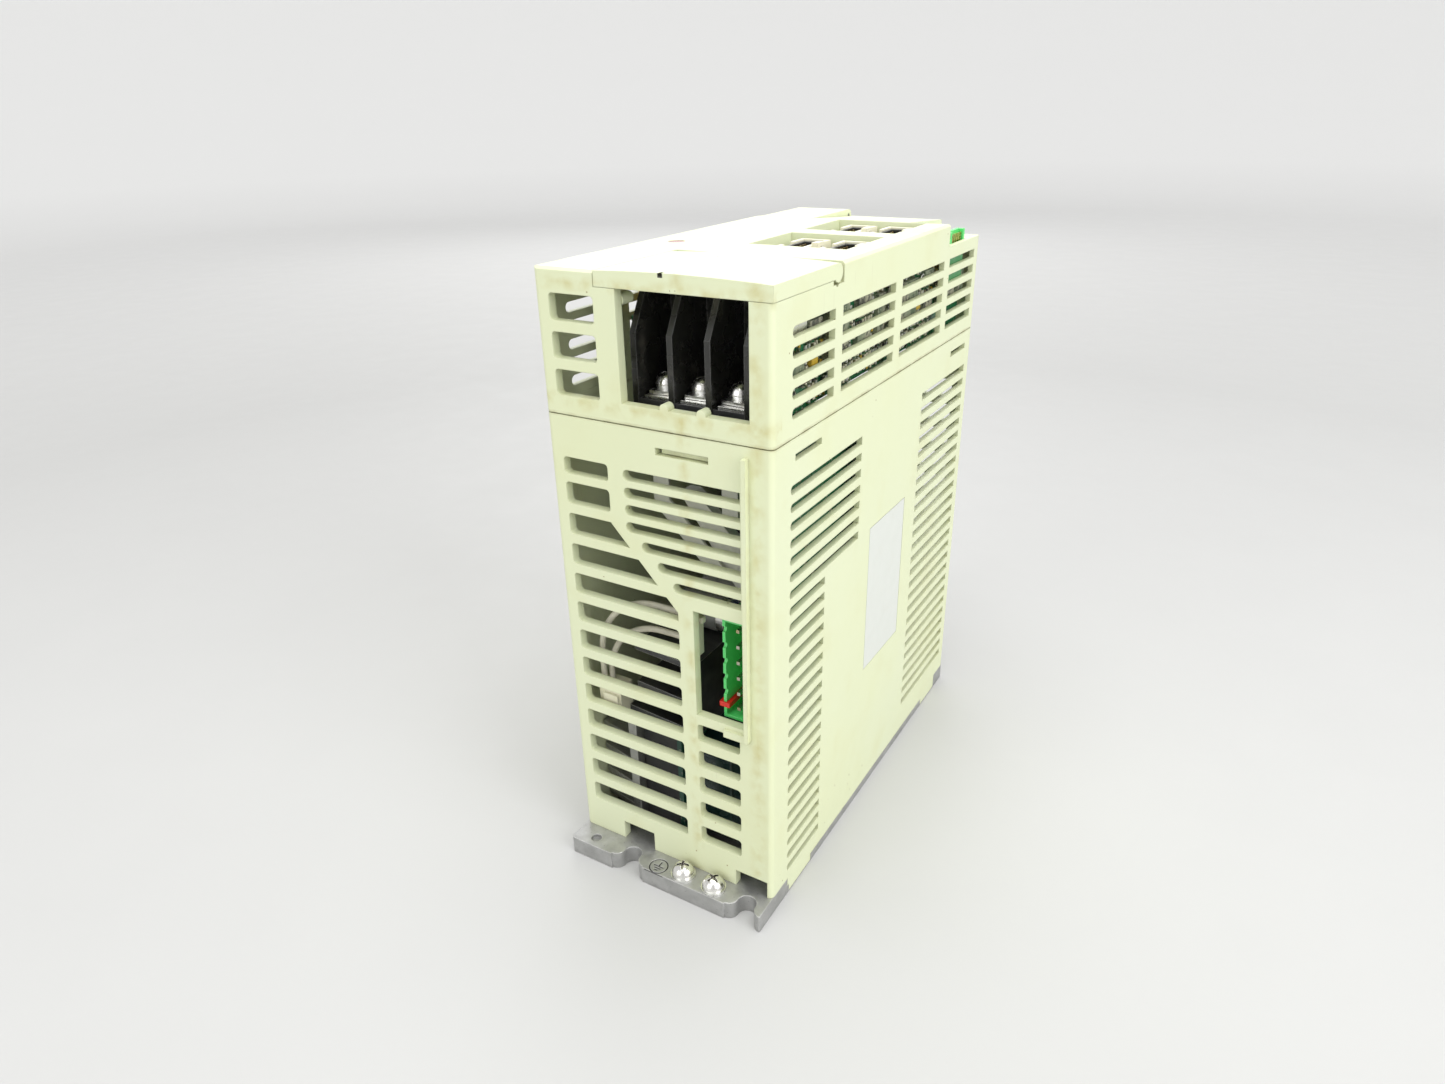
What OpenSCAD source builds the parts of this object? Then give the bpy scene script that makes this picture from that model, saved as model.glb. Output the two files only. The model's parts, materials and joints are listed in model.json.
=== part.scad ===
// Servo amplifier of the 1 kW class, lying on its mounting base with its front face up.
// Millimetres. X is the width, -Y the end with the power terminals, +Z the front face.
// The origin is the middle of the mounting face.

/* [Case] */
// Width of the case
case_w = 70; // [69:0.5:74]
// Length of the plastic case between its end faces
case_len = 151; // [150:1:156]
// Height of the front face above the mounting face
case_h = 187; // [186:0.5:192]
// Height of the seam between the lower and the upper housing
seam_z = 148.5; // [148:0.1:149]
// Thickness of the side walls
side_t = 1.8; // [1.6:0.1:2]
// Thickness of the end walls
end_t = 2.8; // [2.4:0.1:3]
// Fall of the front face from the near edge of the display lid to the far end
top_fall = 2.6; // [2.2:0.1:2.8]

/* [Mounting base] */
// Thickness of the die-cast base
base_t = 6; // [5.5:0.1:6.5]
// Length of the flange and of the tab past the end faces
flange_len = 8.5; // [8.5:0.5:10]
// Diameter of the fixing hole and of the two fixing notches
fixing_d = 6; // [5.5:0.1:6.2]
// Distance between the two fixing notches
notch_pitch = 42; // [40:0.5:43]
// Distance along the case from the notches to the fixing hole
hole_pitch = 160; // [160:0.5:161]

/* [Louvres] */
// Pitch of the wide louvres in the end walls
end_pitch = 9.49; // [9.3:0.01:9.6]
// Height of a wide louvre
end_slot = 6.5; // [5:0.1:7]
// Pitch of the fine louvres beside the front face
fine_pitch = 5; // [4.8:0.01:5.04]
// Height of a fine louvre beside the front face
fine_slot = 2.8; // [2:0.1:3]

/* [Moving parts] */
// Key travel
key_travel = 0.6; // [0.3:0.1:0.7]

/* [Hidden] */

$fn = 48;
eps = 0.01;
half_w = case_w / 2;
near_y = -case_len / 2;
far_y = case_len / 2;
inner_x = half_w - side_t;
near_in = near_y + end_t;
far_in = far_y - end_t;

cream = [0.91, 0.92, 0.79];
cast_metal = [0.66, 0.67, 0.67];
dark_metal = [0.25, 0.25, 0.26];
bright_metal = [0.8, 0.8, 0.8];
tin = [0.76, 0.75, 0.72];
gold = [0.85, 0.68, 0.3];
copper = [0.75, 0.42, 0.2];
black_plastic = [0.08, 0.08, 0.08];
ivory = [0.93, 0.91, 0.82];
white = [0.95, 0.95, 0.93];
green_plastic = [0.2, 0.65, 0.33];
board_green = [0.08, 0.35, 0.18];
red = [0.8, 0.1, 0.08];
yellow = [0.85, 0.7, 0.2];
blue = [0.12, 0.25, 0.55];

// Base
left_notch_x = 22 - half_w;
right_notch_x = left_notch_x + notch_pitch;
notch_y = near_y - 5;
hole_y = notch_y + hole_pitch;
tab_w = 20;
skirt_z = 3;
skirt_half = case_len / 2 - 10;
earth_x = [6, 17];
earth_y = near_y - 4.4;

// Fine louvres of the near end and of the lower side walls
near_fine_pitch = 5.04;
near_fine_slot = 3.1;
lower_fine_pitch = 4.97;
lower_fine_slot = 2.5;

// Seam joint between the housings
seam_gap = 0.3;
tongue_h = 2;
tongue_t = 0.8;

// Terminal window and terminal cover
cover_x0 = -15.5;
cover_y1 = near_y + 37;
cover_z = case_h - 3.9;
cover_crown = 0.7;
cover_pin_r = 1;
knuckle_r = 2.4;
cover_axis_y = cover_y1 - knuckle_r;
cover_axis_z = case_h - knuckle_r;
cover_seat_y1 = cover_axis_y + knuckle_r + cover_crown + 0.25;
bearing_x0 = half_w - side_t - 3;
bearing_x1 = half_w - side_t - 0.3;
window_x0 = -9.2;
window_x1 = 28.6;
sill_z = 154;

// Stepped far corner
step_x = 21;
step_y = 43.5;
step_z = case_h - 7;
option_z = 170.4;
option_y0 = step_y + 6.4;
option_y1 = step_y + 20.5;
option_floor = step_z - 2;

// Display field under its lid
lid_x0 = -33;
lid_x1 = -13;
lid_y0 = 42;
lid_axis_y = 72;
lid_barrel_r = 2.2;
lid_axis_z = case_h - lid_barrel_r;
lid_pin_r = 0.8;
lid_ear_r = 1.4;
lid_ears_x = [lid_x0 + 1.8, lid_x1 - 3.3];
lid_ear_w = 1.5;
field_y1 = 67;
field_z = case_h - 5.5;
lamp_x = -25;
lamp_y = near_y + 52;
lamp_r = 2.5;
key_x = [-29.6, -25.1, -20.6, -16.1];
key_y = 51;
key_r = 1.6;

// Signal connectors: left edges and near ends of the four bodies
conn_w = 9.5;
conn_len = 22;
conn_x = [2, 15.5];
conn_y = [near_y + 58, near_y + 93.5];
recess_x0 = -3;
recess_x1 = 27.4;
recess_wall = 1;
recess_y = [near_y + 56, near_y + 91];
recess_len = 26.5;

// Label on the right-hand side
label_t = 0.2;
label_y0 = near_y + 63.6;
label_len = 28.8;
label_z0 = 52;
label_h = 51;

// Boards
board_t = 1.6;
interface_z = 166;
control_x = 28.6;
control_z0 = 151.4;
board_spots = [[-29, -34, case_h - 2.4], [24, -34, case_h - 2.4], [24, 69, step_z - 2.4],
    [-29, 69, field_z - 2]];
supply_x = 27.2;
power_x = -1.6;
power_top = 47.5;
module_screw_y = [near_y + 16, -9];
module_screw_z = 27;

// Heatsink inside the case
fin_x0 = -inner_x + 0.5;
web_x = -20.8;
web_t = 3;
web_top = 50.3;
web_y0 = near_y + 7.5;
web_y1 = far_y - 14;
shelf_t = 2;

// Header of the control supply
te2_x0 = 16.9;
te2_z0 = 63.6;
te2_pitch = 5.08;
te2_count = 6;

// Height of the front face where it falls away
function top_z(y) = case_h - top_fall * (y - lid_y0) / (far_y - lid_y0);

// ---------- outlines ----------

// Rectangle with round corners
module round_rect(x0, y0, x1, y1, r)
{
    translate([x0 + r, y0]) square([x1 - x0 - 2 * r, y1 - y0]);
    translate([x0, y0 + r]) square([x1 - x0, y1 - y0 - 2 * r]);
    for (x = [x0 + r, x1 - r])
        for (y = [y0 + r, y1 - r])
            translate([x, y]) circle(r);
}

// Louvre with a round end on the left
module left_round_slot(x0, x1, z_top, h)
{
    translate([x0 + h / 2, z_top - h]) square([x1 - x0 - h / 2, h]);
    translate([x0 + h / 2, z_top - h / 2]) circle(h / 2);
}

// Louvre given by its top edge, with softened corners
module wide_slot(x0, x1, z_top, h)
{
    round_rect(x0, z_top - h, x1, z_top, 1.1);
}

// ---------- placing outlines on the walls ----------

// Drawn in X and Z, cut through an end wall whose nearer face is at y
module through_end(y, depth)
{
    translate([0, y + depth, 0]) rotate([90, 0, 0]) linear_extrude(depth) children();
}

// Drawn in Y and Z, cut through a side wall that starts at x
module through_side(x, depth)
{
    translate([x, 0, 0]) rotate([90, 0, 90]) linear_extrude(depth) children();
}

module box(x0, y0, z0, x1, y1, z1)
{
    translate([x0, y0, z0]) cube([x1 - x0, y1 - y0, z1 - z0]);
}

module rod_x(x0, x1, y, z, r)
{
    translate([x0, y, z]) rotate([0, 90, 0]) cylinder(h = x1 - x0, r = r);
}

module rod_y(x, y0, y1, z, r)
{
    translate([x, y0, z]) rotate([-90, 0, 0]) cylinder(h = y1 - y0, r = r);
}

module rod_z(x, y, z0, z1, r)
{
    translate([x, y, z0]) cylinder(h = z1 - z0, r = r);
}

// ---------- mounting base ----------

// Open fixing notch with flared mouth, cut from the edge of the flange
module notch_outline(x)
{
    r = fixing_d / 2;
    translate([x, notch_y]) circle(r);
    difference() {
        translate([x - 2 * r, near_y - flange_len - 1]) square([4 * r, notch_y - near_y + flange_len + 1]);
        for (side = [-1, 1])
            translate([x + side * 2 * r, notch_y]) circle(r);
    }
}

module base_outline()
{
    difference() {
        union() {
            round_rect(-half_w, near_y - flange_len, half_w, far_y, 1);
            round_rect(left_notch_x - tab_w / 2, far_y - 10, left_notch_x + tab_w / 2,
                far_y + flange_len, 4);
        }
        notch_outline(left_notch_x);
        notch_outline(right_notch_x);
        translate([left_notch_x, hole_y]) circle(fixing_d / 2);
    }
}

// Protective-earth symbol, engraved beside the earth screws
module earth_symbol()
{
    line = 0.4;
    translate([-2.5, notch_y - 0.5, base_t - 0.3]) {
        difference() {
            cylinder(h = 1, r = 3.1);
            translate([0, 0, -1]) cylinder(h = 3, r = 3.1 - line);
        }
        translate([-line / 2, 0, 0]) cube([line, 2, 1]);
        for (bar = [0 : 2])
            translate([-1.8 + 0.6 * bar, -0.8 * bar - line / 2, 0]) cube([3.6 - 1.2 * bar, line, 1]);
    }
}

// Web and side fins that carry the power module, and the shelf for the main capacitors
module inner_fins()
{
    box(web_x, web_y0, base_t - 1, web_x + web_t, web_y1, web_top);
    for (z = [14 : 9.2 : 42])
        translate([0, 0, z - 1.8]) linear_extrude(1.8)
            polygon([[fin_x0, web_y0 + 2.5], [web_x + eps, web_y0], [web_x + eps, web_y1],
                [fin_x0, web_y1]]);
    box(fin_x0, 0, web_top - shelf_t, power_x - 0.5, web_y1, web_top);
}

module heatsink_base()
{
    color(cast_metal) difference() {
        union() {
            linear_extrude(base_t) base_outline();
            inner_fins();
        }
        for (side = [-1, 1]) {
            edge = side < 0 ? -half_w - 1 : inner_x - 0.1;
            box(edge, -skirt_half - 0.2, skirt_z - 0.1, edge + side_t + 1.1, skirt_half + 0.2, base_t + 1);
            for (y = [-skirt_half + 0.9, skirt_half - 15.1])
                box(edge, y, -1, edge + side_t + 1.1, y + 15.4, skirt_z + 1);
        }
        for (x = earth_x)
            rod_z(x, earth_y, 0.8, base_t + 1, 2);
        for (y = module_screw_y)
            rod_x(web_x + 0.3, web_x + web_t + 1, y, module_screw_z, 2);
        rod_z(-27.5, notch_y, base_t - 1.2, base_t + 1, 1.7);
        earth_symbol();
        for (y = [-54, 0, 54])
            for (x = [-24, 24])
                rod_z(x, y, -1, 0.3, 4);
    }
}

// Cross-recessed pan head with its shank, seat at z = 0
module pan_screw(head_r, head_h, shank_r, shank_len)
{
    dome_r = (head_r * head_r + head_h * head_h) / (2 * head_h);
    difference() {
        union() {
            intersection() {
                translate([0, 0, head_h - dome_r]) sphere(dome_r);
                cylinder(h = head_h, r = head_r);
            }
            translate([0, 0, -shank_len]) cylinder(h = shank_len + eps, r = shank_r);
        }
        for (turn = [0, 90])
            rotate(turn) translate([-head_r * 0.55, -head_r * 0.11, head_h * 0.4])
                cube([head_r * 1.1, head_r * 0.22, head_h]);
    }
}

// Flat ring lying on z = 0
module ring(inner_r, outer_r, h)
{
    difference() {
        cylinder(h = h, r = outer_r);
        translate([0, 0, -1]) cylinder(h = h + 2, r = inner_r);
    }
}

module earth_screws()
{
    color(bright_metal) for (x = earth_x)
        translate([x, earth_y, base_t + 1.4]) rotate(x * 4) pan_screw(3.5, 2.8, 1.95, 6);
}

module earth_washers()
{
    color(tin) for (x = earth_x)
        translate([x, earth_y, base_t]) {
            ring(2.1, 3.9, 0.7);
            translate([0, 0, 0.7]) ring(2.1, 3.3, 0.7);
        }
}

// ---------- lower housing ----------

module case_block(z0, z1, inset_side, inset_end, corner)
{
    translate([0, 0, z0]) linear_extrude(z1 - z0)
        round_rect(-half_w + inset_side, near_y + inset_end, half_w - inset_side, far_y - inset_end,
            corner);
}

// Where the wide louvres of the near end lie, with its slanted upper right edge
module wide_field()
{
    polygon([[-30.4, 15], [5.5, 15], [5.5, 96.5], [-15.4, 119.2], [-15.4, 137], [-30.4, 137]]);
}

module near_wide_louvres()
{
    intersection() {
        wide_field();
        union() {
            for (k = [0 : 7])
                wide_slot(-30.4, 5.5, 24.5 + k * end_pitch, end_slot);
            for (k = [8 : 10])
                wide_slot(-30.4, 7, 24.5 + k * end_pitch, end_slot);
            wide_slot(-30.4, -15.4, 24.5 + 11 * end_pitch, end_slot);
            wide_slot(-30.4, -15.4, 136.3, 4.9);
        }
    }
}

// Fine louvres whose left ends follow the slant of the wide ones
module near_fine_louvres()
{
    for (k = [0 : 6])
        left_round_slot(-10.4 + 4.9 * max(0, k - 3), 25.6, 135.9 - near_fine_pitch * k, near_fine_slot);
}

module near_openings()
{
    near_wide_louvres();
    near_fine_louvres();
    translate([10.4, 64.5]) square([16.3, 33.9]);
    difference() {
        for (k = [0 : 4])
            wide_slot(10.5, 24.6, 23.9 + 9.37 * k, 5.9);
        translate([19.6, 60.5]) square([6.2, 1.5]);
    }
    translate([0.6, 141.7]) square([16, 2]);
    translate([-19.3, base_t - 1]) square([11.7, 7.7]);
    translate([22.5, base_t - 1]) square([10.8, 6.8]);
}

module far_openings()
{
    for (x = [-30.4, 3])
        for (k = [0 : 12])
            wide_slot(x, x + 27.4, 24.5 + k * end_pitch, end_slot);
    translate([-8, 141.7]) square([16, 2]);
    translate([left_notch_x - 6, base_t - 1]) square([12, 7.7]);
}

// Fine louvres at the near end of the right-hand side wall
module side_near_louvres()
{
    for (k = [0 : 25])
        left_round_slot(near_y + 9.5, near_y + (k < 7 ? 54.2 : 31.3), 135.9 - k * lower_fine_pitch,
            lower_fine_slot);
}

// Fine louvres at the far end of a side wall, and its two latch slots
module side_openings()
{
    for (k = [0 : 24])
        translate([near_y + 103, 133.4 - k * lower_fine_pitch]) square([42.5, lower_fine_slot]);
    for (y = [11.8, 129.2])
        translate([near_y + y, 142]) square([15.2, 1.9]);
}

// Upright rib that guides the wiring past the header window, with a low pad at its foot
module guide_rib()
{
    depth = 1.9;
    translate([26.9, near_y - depth, 62]) cube([1.3, depth + eps, 83.4]);
    rod_y(27.55, near_y - depth, near_y + eps, 62, 0.65);
    translate([19.7, near_y - 0.9, 60.7]) cube([7.9, 0.9 + eps, 2.4]);
}

module lower_housing()
{
    color(cream) difference() {
        union() {
            case_block(base_t, seam_z - seam_gap, 0, 0, 1.6);
            case_block(base_t, seam_z + tongue_h, side_t - tongue_t, end_t - tongue_t - 0.6, 0.8);
            guide_rib();
            for (side = [-1, 1]) {
                edge = side < 0 ? -half_w : inner_x;
                box(edge, -skirt_half, skirt_z, edge + side_t, skirt_half, base_t + 4);
                for (y = [-skirt_half + 1, skirt_half - 15])
                    box(edge, y, 0.5, edge + side_t, y + 15, skirt_z + 1);
            }
        }
        case_block(0, seam_z + 10, side_t, end_t, 0.6);
        through_end(near_y - 1, end_t + 2) near_openings();
        through_end(far_in - 1, end_t + 2) far_openings();
        through_side(-half_w - 1, side_t + 2) side_openings();
        through_side(inner_x - 1, side_t + 2) {
            side_near_louvres();
            side_openings();
        }
        box(half_w - label_t, label_y0 - 0.2, label_z0 - 0.2, half_w + 1, label_y0 + label_len + 0.2,
            label_z0 + label_h + 0.2);
    }
}

// ---------- upper housing ----------

module upper_near_openings()
{
    for (z = [180.6, 170.7, 160.8])
        wide_slot(-30.4, -16.1, z, 7);
    translate([window_x0, sill_z]) square([window_x1 - window_x0, cover_z - sill_z + eps]);
}

module upper_far_openings()
{
    for (z = [170.7, 160.8])
        for (x = [-30.4, -13, 4.4])
            wide_slot(x, x + 14.3, z, 7);
}

module upper_side_openings()
{
    spans = [[9.7, 33.4], [38, 74.3], [79.5, 115.5], [120.5, 146]];
    for (k = [0 : 4]) {
        top = case_h - 11 - k * fine_pitch;
        left_round_slot(near_y + spans[0][0], near_y + spans[0][1], top, fine_slot);
        for (s = [1 : 3])
            translate([near_y + spans[s][0], top - fine_slot])
                square([spans[s][1] - spans[s][0], fine_slot]);
    }
}

// Slanted cuts that take the sharp edge off the front face, drawn across the edge
module edge_chamfers(size)
{
    for (turn = [0, 180])
        rotate(turn) {
            translate([0, case_len / 2 + 1, 0]) rotate([90, 0, 0]) linear_extrude(case_len + 2)
                polygon([[half_w - size, case_h + 1], [half_w + 1, case_h + 1], [half_w + 1, case_h - size],
                    [half_w, case_h - size], [half_w - size, case_h]]);
            rotate(90) translate([0, half_w + 1, 0]) rotate([90, 0, 0]) linear_extrude(case_w + 2)
                polygon([[far_y - size, case_h + 1], [far_y + 1, case_h + 1], [far_y + 1, case_h - size],
                    [far_y, case_h - size], [far_y - size, case_h]]);
        }
}

// Outside of the upper housing with its stepped far corner
module upper_outside()
{
    difference() {
        case_block(seam_z, case_h, 0, 0, 1.6);
        box(step_x, step_y, step_z, half_w + 1, far_y + 1, case_h + 1);
        through_side(-half_w - 1, case_w + 2)
            polygon([[lid_y0, case_h], [far_y + 1, top_z(far_y + 1)], [far_y + 1, case_h + 1],
                [lid_y0, case_h + 1]]);
        edge_chamfers(0.7);
    }
}

// Hollow of the upper housing, which leaves the walls of the recesses standing
module upper_inside()
{
    difference() {
        case_block(seam_z - 1, case_h - 2.4, side_t, end_t, 0.6);
        box(step_x - 2, step_y - 2, step_z - 2.4, half_w, far_y, case_h);
        box(lid_x0 - 3, lid_y0 - 2, field_z - 2, lid_x1 + 2, far_y, case_h);
        box(-half_w, lid_y0 - 2, case_h - 5.2, half_w, far_y, case_h);
        for (y = recess_y)
            box(recess_x0 - recess_wall, y - recess_wall, interface_z + 8, recess_x1 + recess_wall,
                y + recess_len + recess_wall, case_h);
    }
}

// Sunk field that holds the keys and the display, and the seat of the lid over it
module display_field_cuts()
{
    gap = 0.3;
    box(lid_x0 + 1.1, lid_y0 + 1.6, field_z, lid_x1 - 1.1, field_y1, case_h + 1);
    through_side(lid_x0 - gap, lid_x1 - lid_x0 + 2 * gap)
        polygon([[lid_y0 - gap, case_h - 1 - gap], [lid_axis_y, top_z(lid_axis_y) - 1 - gap],
            [lid_axis_y, case_h + 1], [lid_y0 - gap, case_h + 1]]);
    rod_x(lid_x0 - gap, lid_x1 + gap, lid_axis_y, lid_axis_z, lid_barrel_r + gap);
    box(lid_x0 + 2.6, lid_y0 + 15, field_z - 3, lid_x1 - 2.6, lid_y0 + 24, field_z + 1);
    for (x = key_x)
        rod_z(x, key_y, field_z - 3, field_z + 1, key_r + 0.3);
}

// Ears that hold the pins of the display lid
module lid_ears()
{
    for (x = lid_ears_x)
        difference() {
            union() {
                rod_x(x, x + lid_ear_w, lid_axis_y, lid_axis_z, lid_ear_r);
                box(x, lid_axis_y - 1, case_h - 6, x + lid_ear_w, lid_axis_y + 1, lid_axis_z);
            }
            rod_x(x - 1, x + lid_ear_w + 1, lid_axis_y, lid_axis_z, lid_pin_r);
        }
}

module cover_seat_cuts()
{
    box(cover_x0 - 0.2, near_y - 1, cover_z - 0.1, half_w + 1, cover_axis_y, case_h + 1);
    box(cover_x0 - 0.2, cover_axis_y - 3, cover_axis_z - knuckle_r - 0.4, half_w + 1, cover_seat_y1,
        case_h + 1);
    rod_x(cover_x0 - 2.2, cover_x0, cover_axis_y, cover_axis_z, cover_pin_r + 0.06);
    rod_x(inner_x - 1, half_w + 1, cover_axis_y - 0.6, 182.1, 0.9);
}

// Ear that holds the right-hand pin of the terminal cover
module cover_ear()
{
    difference() {
        union() {
            rod_x(bearing_x0, bearing_x1, cover_axis_y, cover_axis_z, 1.7);
            box(bearing_x0, cover_axis_y - 1.5, cover_axis_z - 8, bearing_x1, cover_axis_y + 1.5,
                cover_axis_z);
            box(bearing_x0, cover_axis_y - 1.5, cover_axis_z - 8, inner_x + eps, cover_axis_y + 1.5,
                cover_axis_z - 4);
        }
        rod_x(bearing_x0 - 1, inner_x, cover_axis_y, cover_axis_z, cover_pin_r + 0.06);
    }
}

// Snap tongues behind the lower housing's latch slots
module latch_tongues()
{
    box(1.4, near_in + 0.1, 140.6, 15.8, near_in + 1.6, seam_z + 4);
    box(1.6, near_in - 1.2, 141.9, 15.6, near_in + 0.2, 143.5);
    box(1.4, near_in - 1, seam_z + tongue_h, 15.8, near_in + 0.2, seam_z + 4);
    box(-7.2, far_in - 1.6, 140.6, 7.2, far_in - 0.1, seam_z + 4);
    box(-7, far_in - 0.2, 141.9, 7, far_in + 1.2, 143.5);
    box(-7.2, far_in - 0.2, seam_z + tongue_h, 7.2, far_in + 1, seam_z + 4);
}

module upper_housing()
{
    color(cream) {
        difference() {
            upper_outside();
            upper_inside();
            case_block(seam_z - 1, seam_z + tongue_h, side_t - tongue_t, end_t - tongue_t - 0.6, 0.8);
            through_end(near_y - 1, end_t + 2) upper_near_openings();
            through_end(far_in - 1, end_t + 2) upper_far_openings();
            through_side(-half_w - 1, side_t + 2) upper_side_openings();
            through_side(inner_x - 1, side_t + 2) upper_side_openings();
            for (y = recess_y)
                box(recess_x0, y, interface_z, recess_x1, y + recess_len, case_h + 1);
            box(29.8, option_y0 - 0.4, step_z - 5, inner_x, option_y1 + 0.4, step_z + 1);
            display_field_cuts();
            cover_seat_cuts();
            rod_z(lamp_x, lamp_y, case_h - 4, case_h + 1, lamp_r + 0.05);
        }
        lid_ears();
        cover_ear();
        latch_tongues();
        for (x = [3.9, 14.9]) {
            box(x - 1.3, near_y, sill_z - eps, x + 1.3, near_y + end_t, sill_z + 0.4);
            rod_y(x, near_y, near_y + end_t, sill_z + 0.4, 1.3);
        }
    }
}

// ---------- terminal cover, closed ----------

// Front view of the cover, with its crowned top
module cover_profile()
{
    chord = half_w - cover_x0;
    arc_r = (chord * chord / 4 + cover_crown * cover_crown) / (2 * cover_crown);
    intersection() {
        translate([cover_x0, cover_z]) square([chord, 10]);
        translate([(half_w + cover_x0) / 2, case_h + cover_crown - arc_r]) circle(arc_r, $fn = 720);
    }
}

// Room that the ear needs inside the knuckle while the cover turns
module cover_ear_room()
{
    rod_x(bearing_x0 - 0.2, inner_x + 0.1, cover_axis_y, cover_axis_z, 2);
    box(bearing_x0 - 0.2, cover_axis_y - 1.8, cover_axis_z - 4, inner_x + 0.1, cover_axis_y + 4,
        cover_axis_z + 1.8);
}

module terminal_cover()
{
    skirt = 2.2;
    color(cream) {
        difference() {
            union() {
                through_end(near_y, cover_axis_y - near_y) cover_profile();
                rod_x(cover_x0, half_w, cover_axis_y, cover_axis_z, knuckle_r);
            }
            box(cover_x0 + skirt, near_y + skirt, cover_z - 1, half_w - skirt, cover_axis_y - 2,
                case_h - 1.6);
            rod_y(4.6, near_y - 1, near_y + 1.4, case_h + 0.3, 0.6);
            cover_ear_room();
        }
        rod_x(cover_x0 - 2, cover_x0 + eps, cover_axis_y, cover_axis_z, cover_pin_r);
        rod_x(bearing_x0 - 0.3, inner_x + 0.2, cover_axis_y, cover_axis_z, cover_pin_r);
    }
}

// ---------- display lid, closed ----------

// Side view of the lid: level on top, its underside following the fall of the front face
module lid_profile()
{
    polygon([[lid_y0, case_h - 1], [lid_axis_y, top_z(lid_axis_y) - 1], [lid_axis_y, case_h],
        [lid_y0, case_h]]);
    translate([lid_axis_y, lid_axis_z]) circle(lid_barrel_r);
}

module display_lid()
{
    skin = 1.4;
    color(cream) difference() {
        through_side(lid_x0, lid_x1 - lid_x0) lid_profile();
        box(lid_x0 + skin, lid_y0 + 4, case_h - 5, lid_x1 - skin, field_y1, case_h - 1);
        for (x = lid_ears_x) {
            rod_x(x - 0.2, x + lid_ear_w + 0.2, lid_axis_y, lid_axis_z, lid_ear_r + 0.3);
            box(x - 0.2, lid_axis_y - 1.2, lid_axis_z - 4, x + lid_ear_w + 0.2, lid_axis_y + 4,
                lid_axis_z + 1.8);
        }
        rod_x(lid_x0 - 1, lid_x1 + 1, lid_axis_y, lid_axis_z, lid_pin_r + 0.05);
    }
}

module lid_pins()
{
    color(dark_metal) {
        rod_x(lid_x0 + 0.2, lid_ears_x[0] + lid_ear_w, lid_axis_y, lid_axis_z, lid_pin_r);
        rod_x(lid_ears_x[1], lid_x1 - 0.2, lid_axis_y, lid_axis_z, lid_pin_r);
    }
}

// ---------- power terminal block ----------

te1_x0 = -12.4;
te1_pitch = 11.35;
te1_wall = 1.8;
te1_y0 = near_y + 9.6;
te1_y1 = near_y + 33;
te1_floor = 152.7;
te1_screw_y = near_y + 16.3;
spring_h = 1.3;
te1_seat = te1_floor + 1.9 + spring_h;

function te1_mid(i) = te1_x0 + te1_wall / 2 + te1_pitch * (i + 0.5);

// Barrier between the terminals, upright in front and sloping back at the top
module te1_barrier()
{
    polygon([[te1_y0, 150.2], [te1_y1, 150.2], [te1_y1, 182.4], [te1_y0 + 6.7, 182.4], [te1_y0, 170.2]]);
}

module te1_block()
{
    width = 3 * te1_pitch + te1_wall;
    color(black_plastic) difference() {
        union() {
            for (i = [0 : 3])
                through_side(te1_x0 + i * te1_pitch, te1_wall) te1_barrier();
            box(te1_x0, te1_y0 + 0.6, 150.2, te1_x0 + width, te1_y1, te1_floor);
            box(te1_x0, te1_y0 + 17, 150.2, te1_x0 + width, te1_y1, 181.6);
        }
        for (i = [0 : 2]) {
            rod_z(te1_mid(i), te1_screw_y, 150, te1_floor + 1, 2.1);
            box(te1_mid(i) - 3, lead_y, 155, te1_mid(i) + 3, te1_y1 + 1, 170);
        }
    }
}

module te1_plates()
{
    color(tin) for (i = [0 : 2])
        difference() {
            box(te1_mid(i) - 4, te1_y0 + 1.5, te1_floor, te1_mid(i) + 4, te1_y0 + 16.9, te1_floor + 0.8);
            rod_z(te1_mid(i), te1_screw_y, te1_floor - 1, te1_floor + 2, 2.1);
        }
}

// Square washer and spring washer that stay on each terminal screw
module te1_washers()
{
    side = 7.4;
    color(tin) for (i = [0 : 2])
        translate([te1_mid(i), te1_screw_y, te1_seat - spring_h]) {
            ring(2.05, 3.1, spring_h);
            rotate(8 - 6 * i) translate([0, 0, -1]) difference() {
                translate([-side / 2, -side / 2, 0]) cube([side, side, 1]);
                translate([0, 0, -1]) cylinder(h = 3, r = 2.05);
            }
        }
}

module te1_screws()
{
    color(bright_metal) for (i = [0 : 2])
        translate([te1_mid(i), te1_screw_y, te1_seat]) rotate(20 + 25 * i) pan_screw(3.3, 3.1, 1.98, 5.6);
}

lead_z = 157;
lead_y = te1_y1 - 5;
output_y = -3;
output_top = 56;

// ---------- control supply header ----------

te2_y0 = near_y + 4.5;
te2_y1 = near_y + 16;
te2_len = te2_count * te2_pitch + 1.8;
te2_pin_x = te2_x0 + 4;

function te2_pin_z(i) = te2_z0 + 0.9 + te2_pitch * (i + 0.5);

module te2_header()
{
    wall = 0.9;
    color(green_plastic) difference() {
        box(te2_x0, te2_y0, te2_z0, supply_x, te2_y1, te2_z0 + te2_len);
        box(te2_x0 + wall, te2_y0 - 1, te2_z0 + wall, supply_x - wall, te2_y1 - 2, te2_z0 + te2_len - wall);
        for (i = [1 : te2_count - 1])
            rod_x(te2_x0 - 1, te2_x0 + wall + 1, te2_y0, te2_pin_z(i), 0.9);
        for (i = [0 : te2_count - 1])
            box(te2_pin_x, te2_y1 - 3, te2_pin_z(i) - 0.5, te2_pin_x + 1, te2_y1 + 1, te2_pin_z(i) + 0.5);
    }
}

module te2_pins()
{
    color(tin) for (i = [0 : te2_count - 1])
        box(te2_pin_x, te2_y0 + 0.6, te2_pin_z(i) - 0.5, te2_pin_x + 1, te2_y1 + 0.8, te2_pin_z(i) + 0.5);
}

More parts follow.
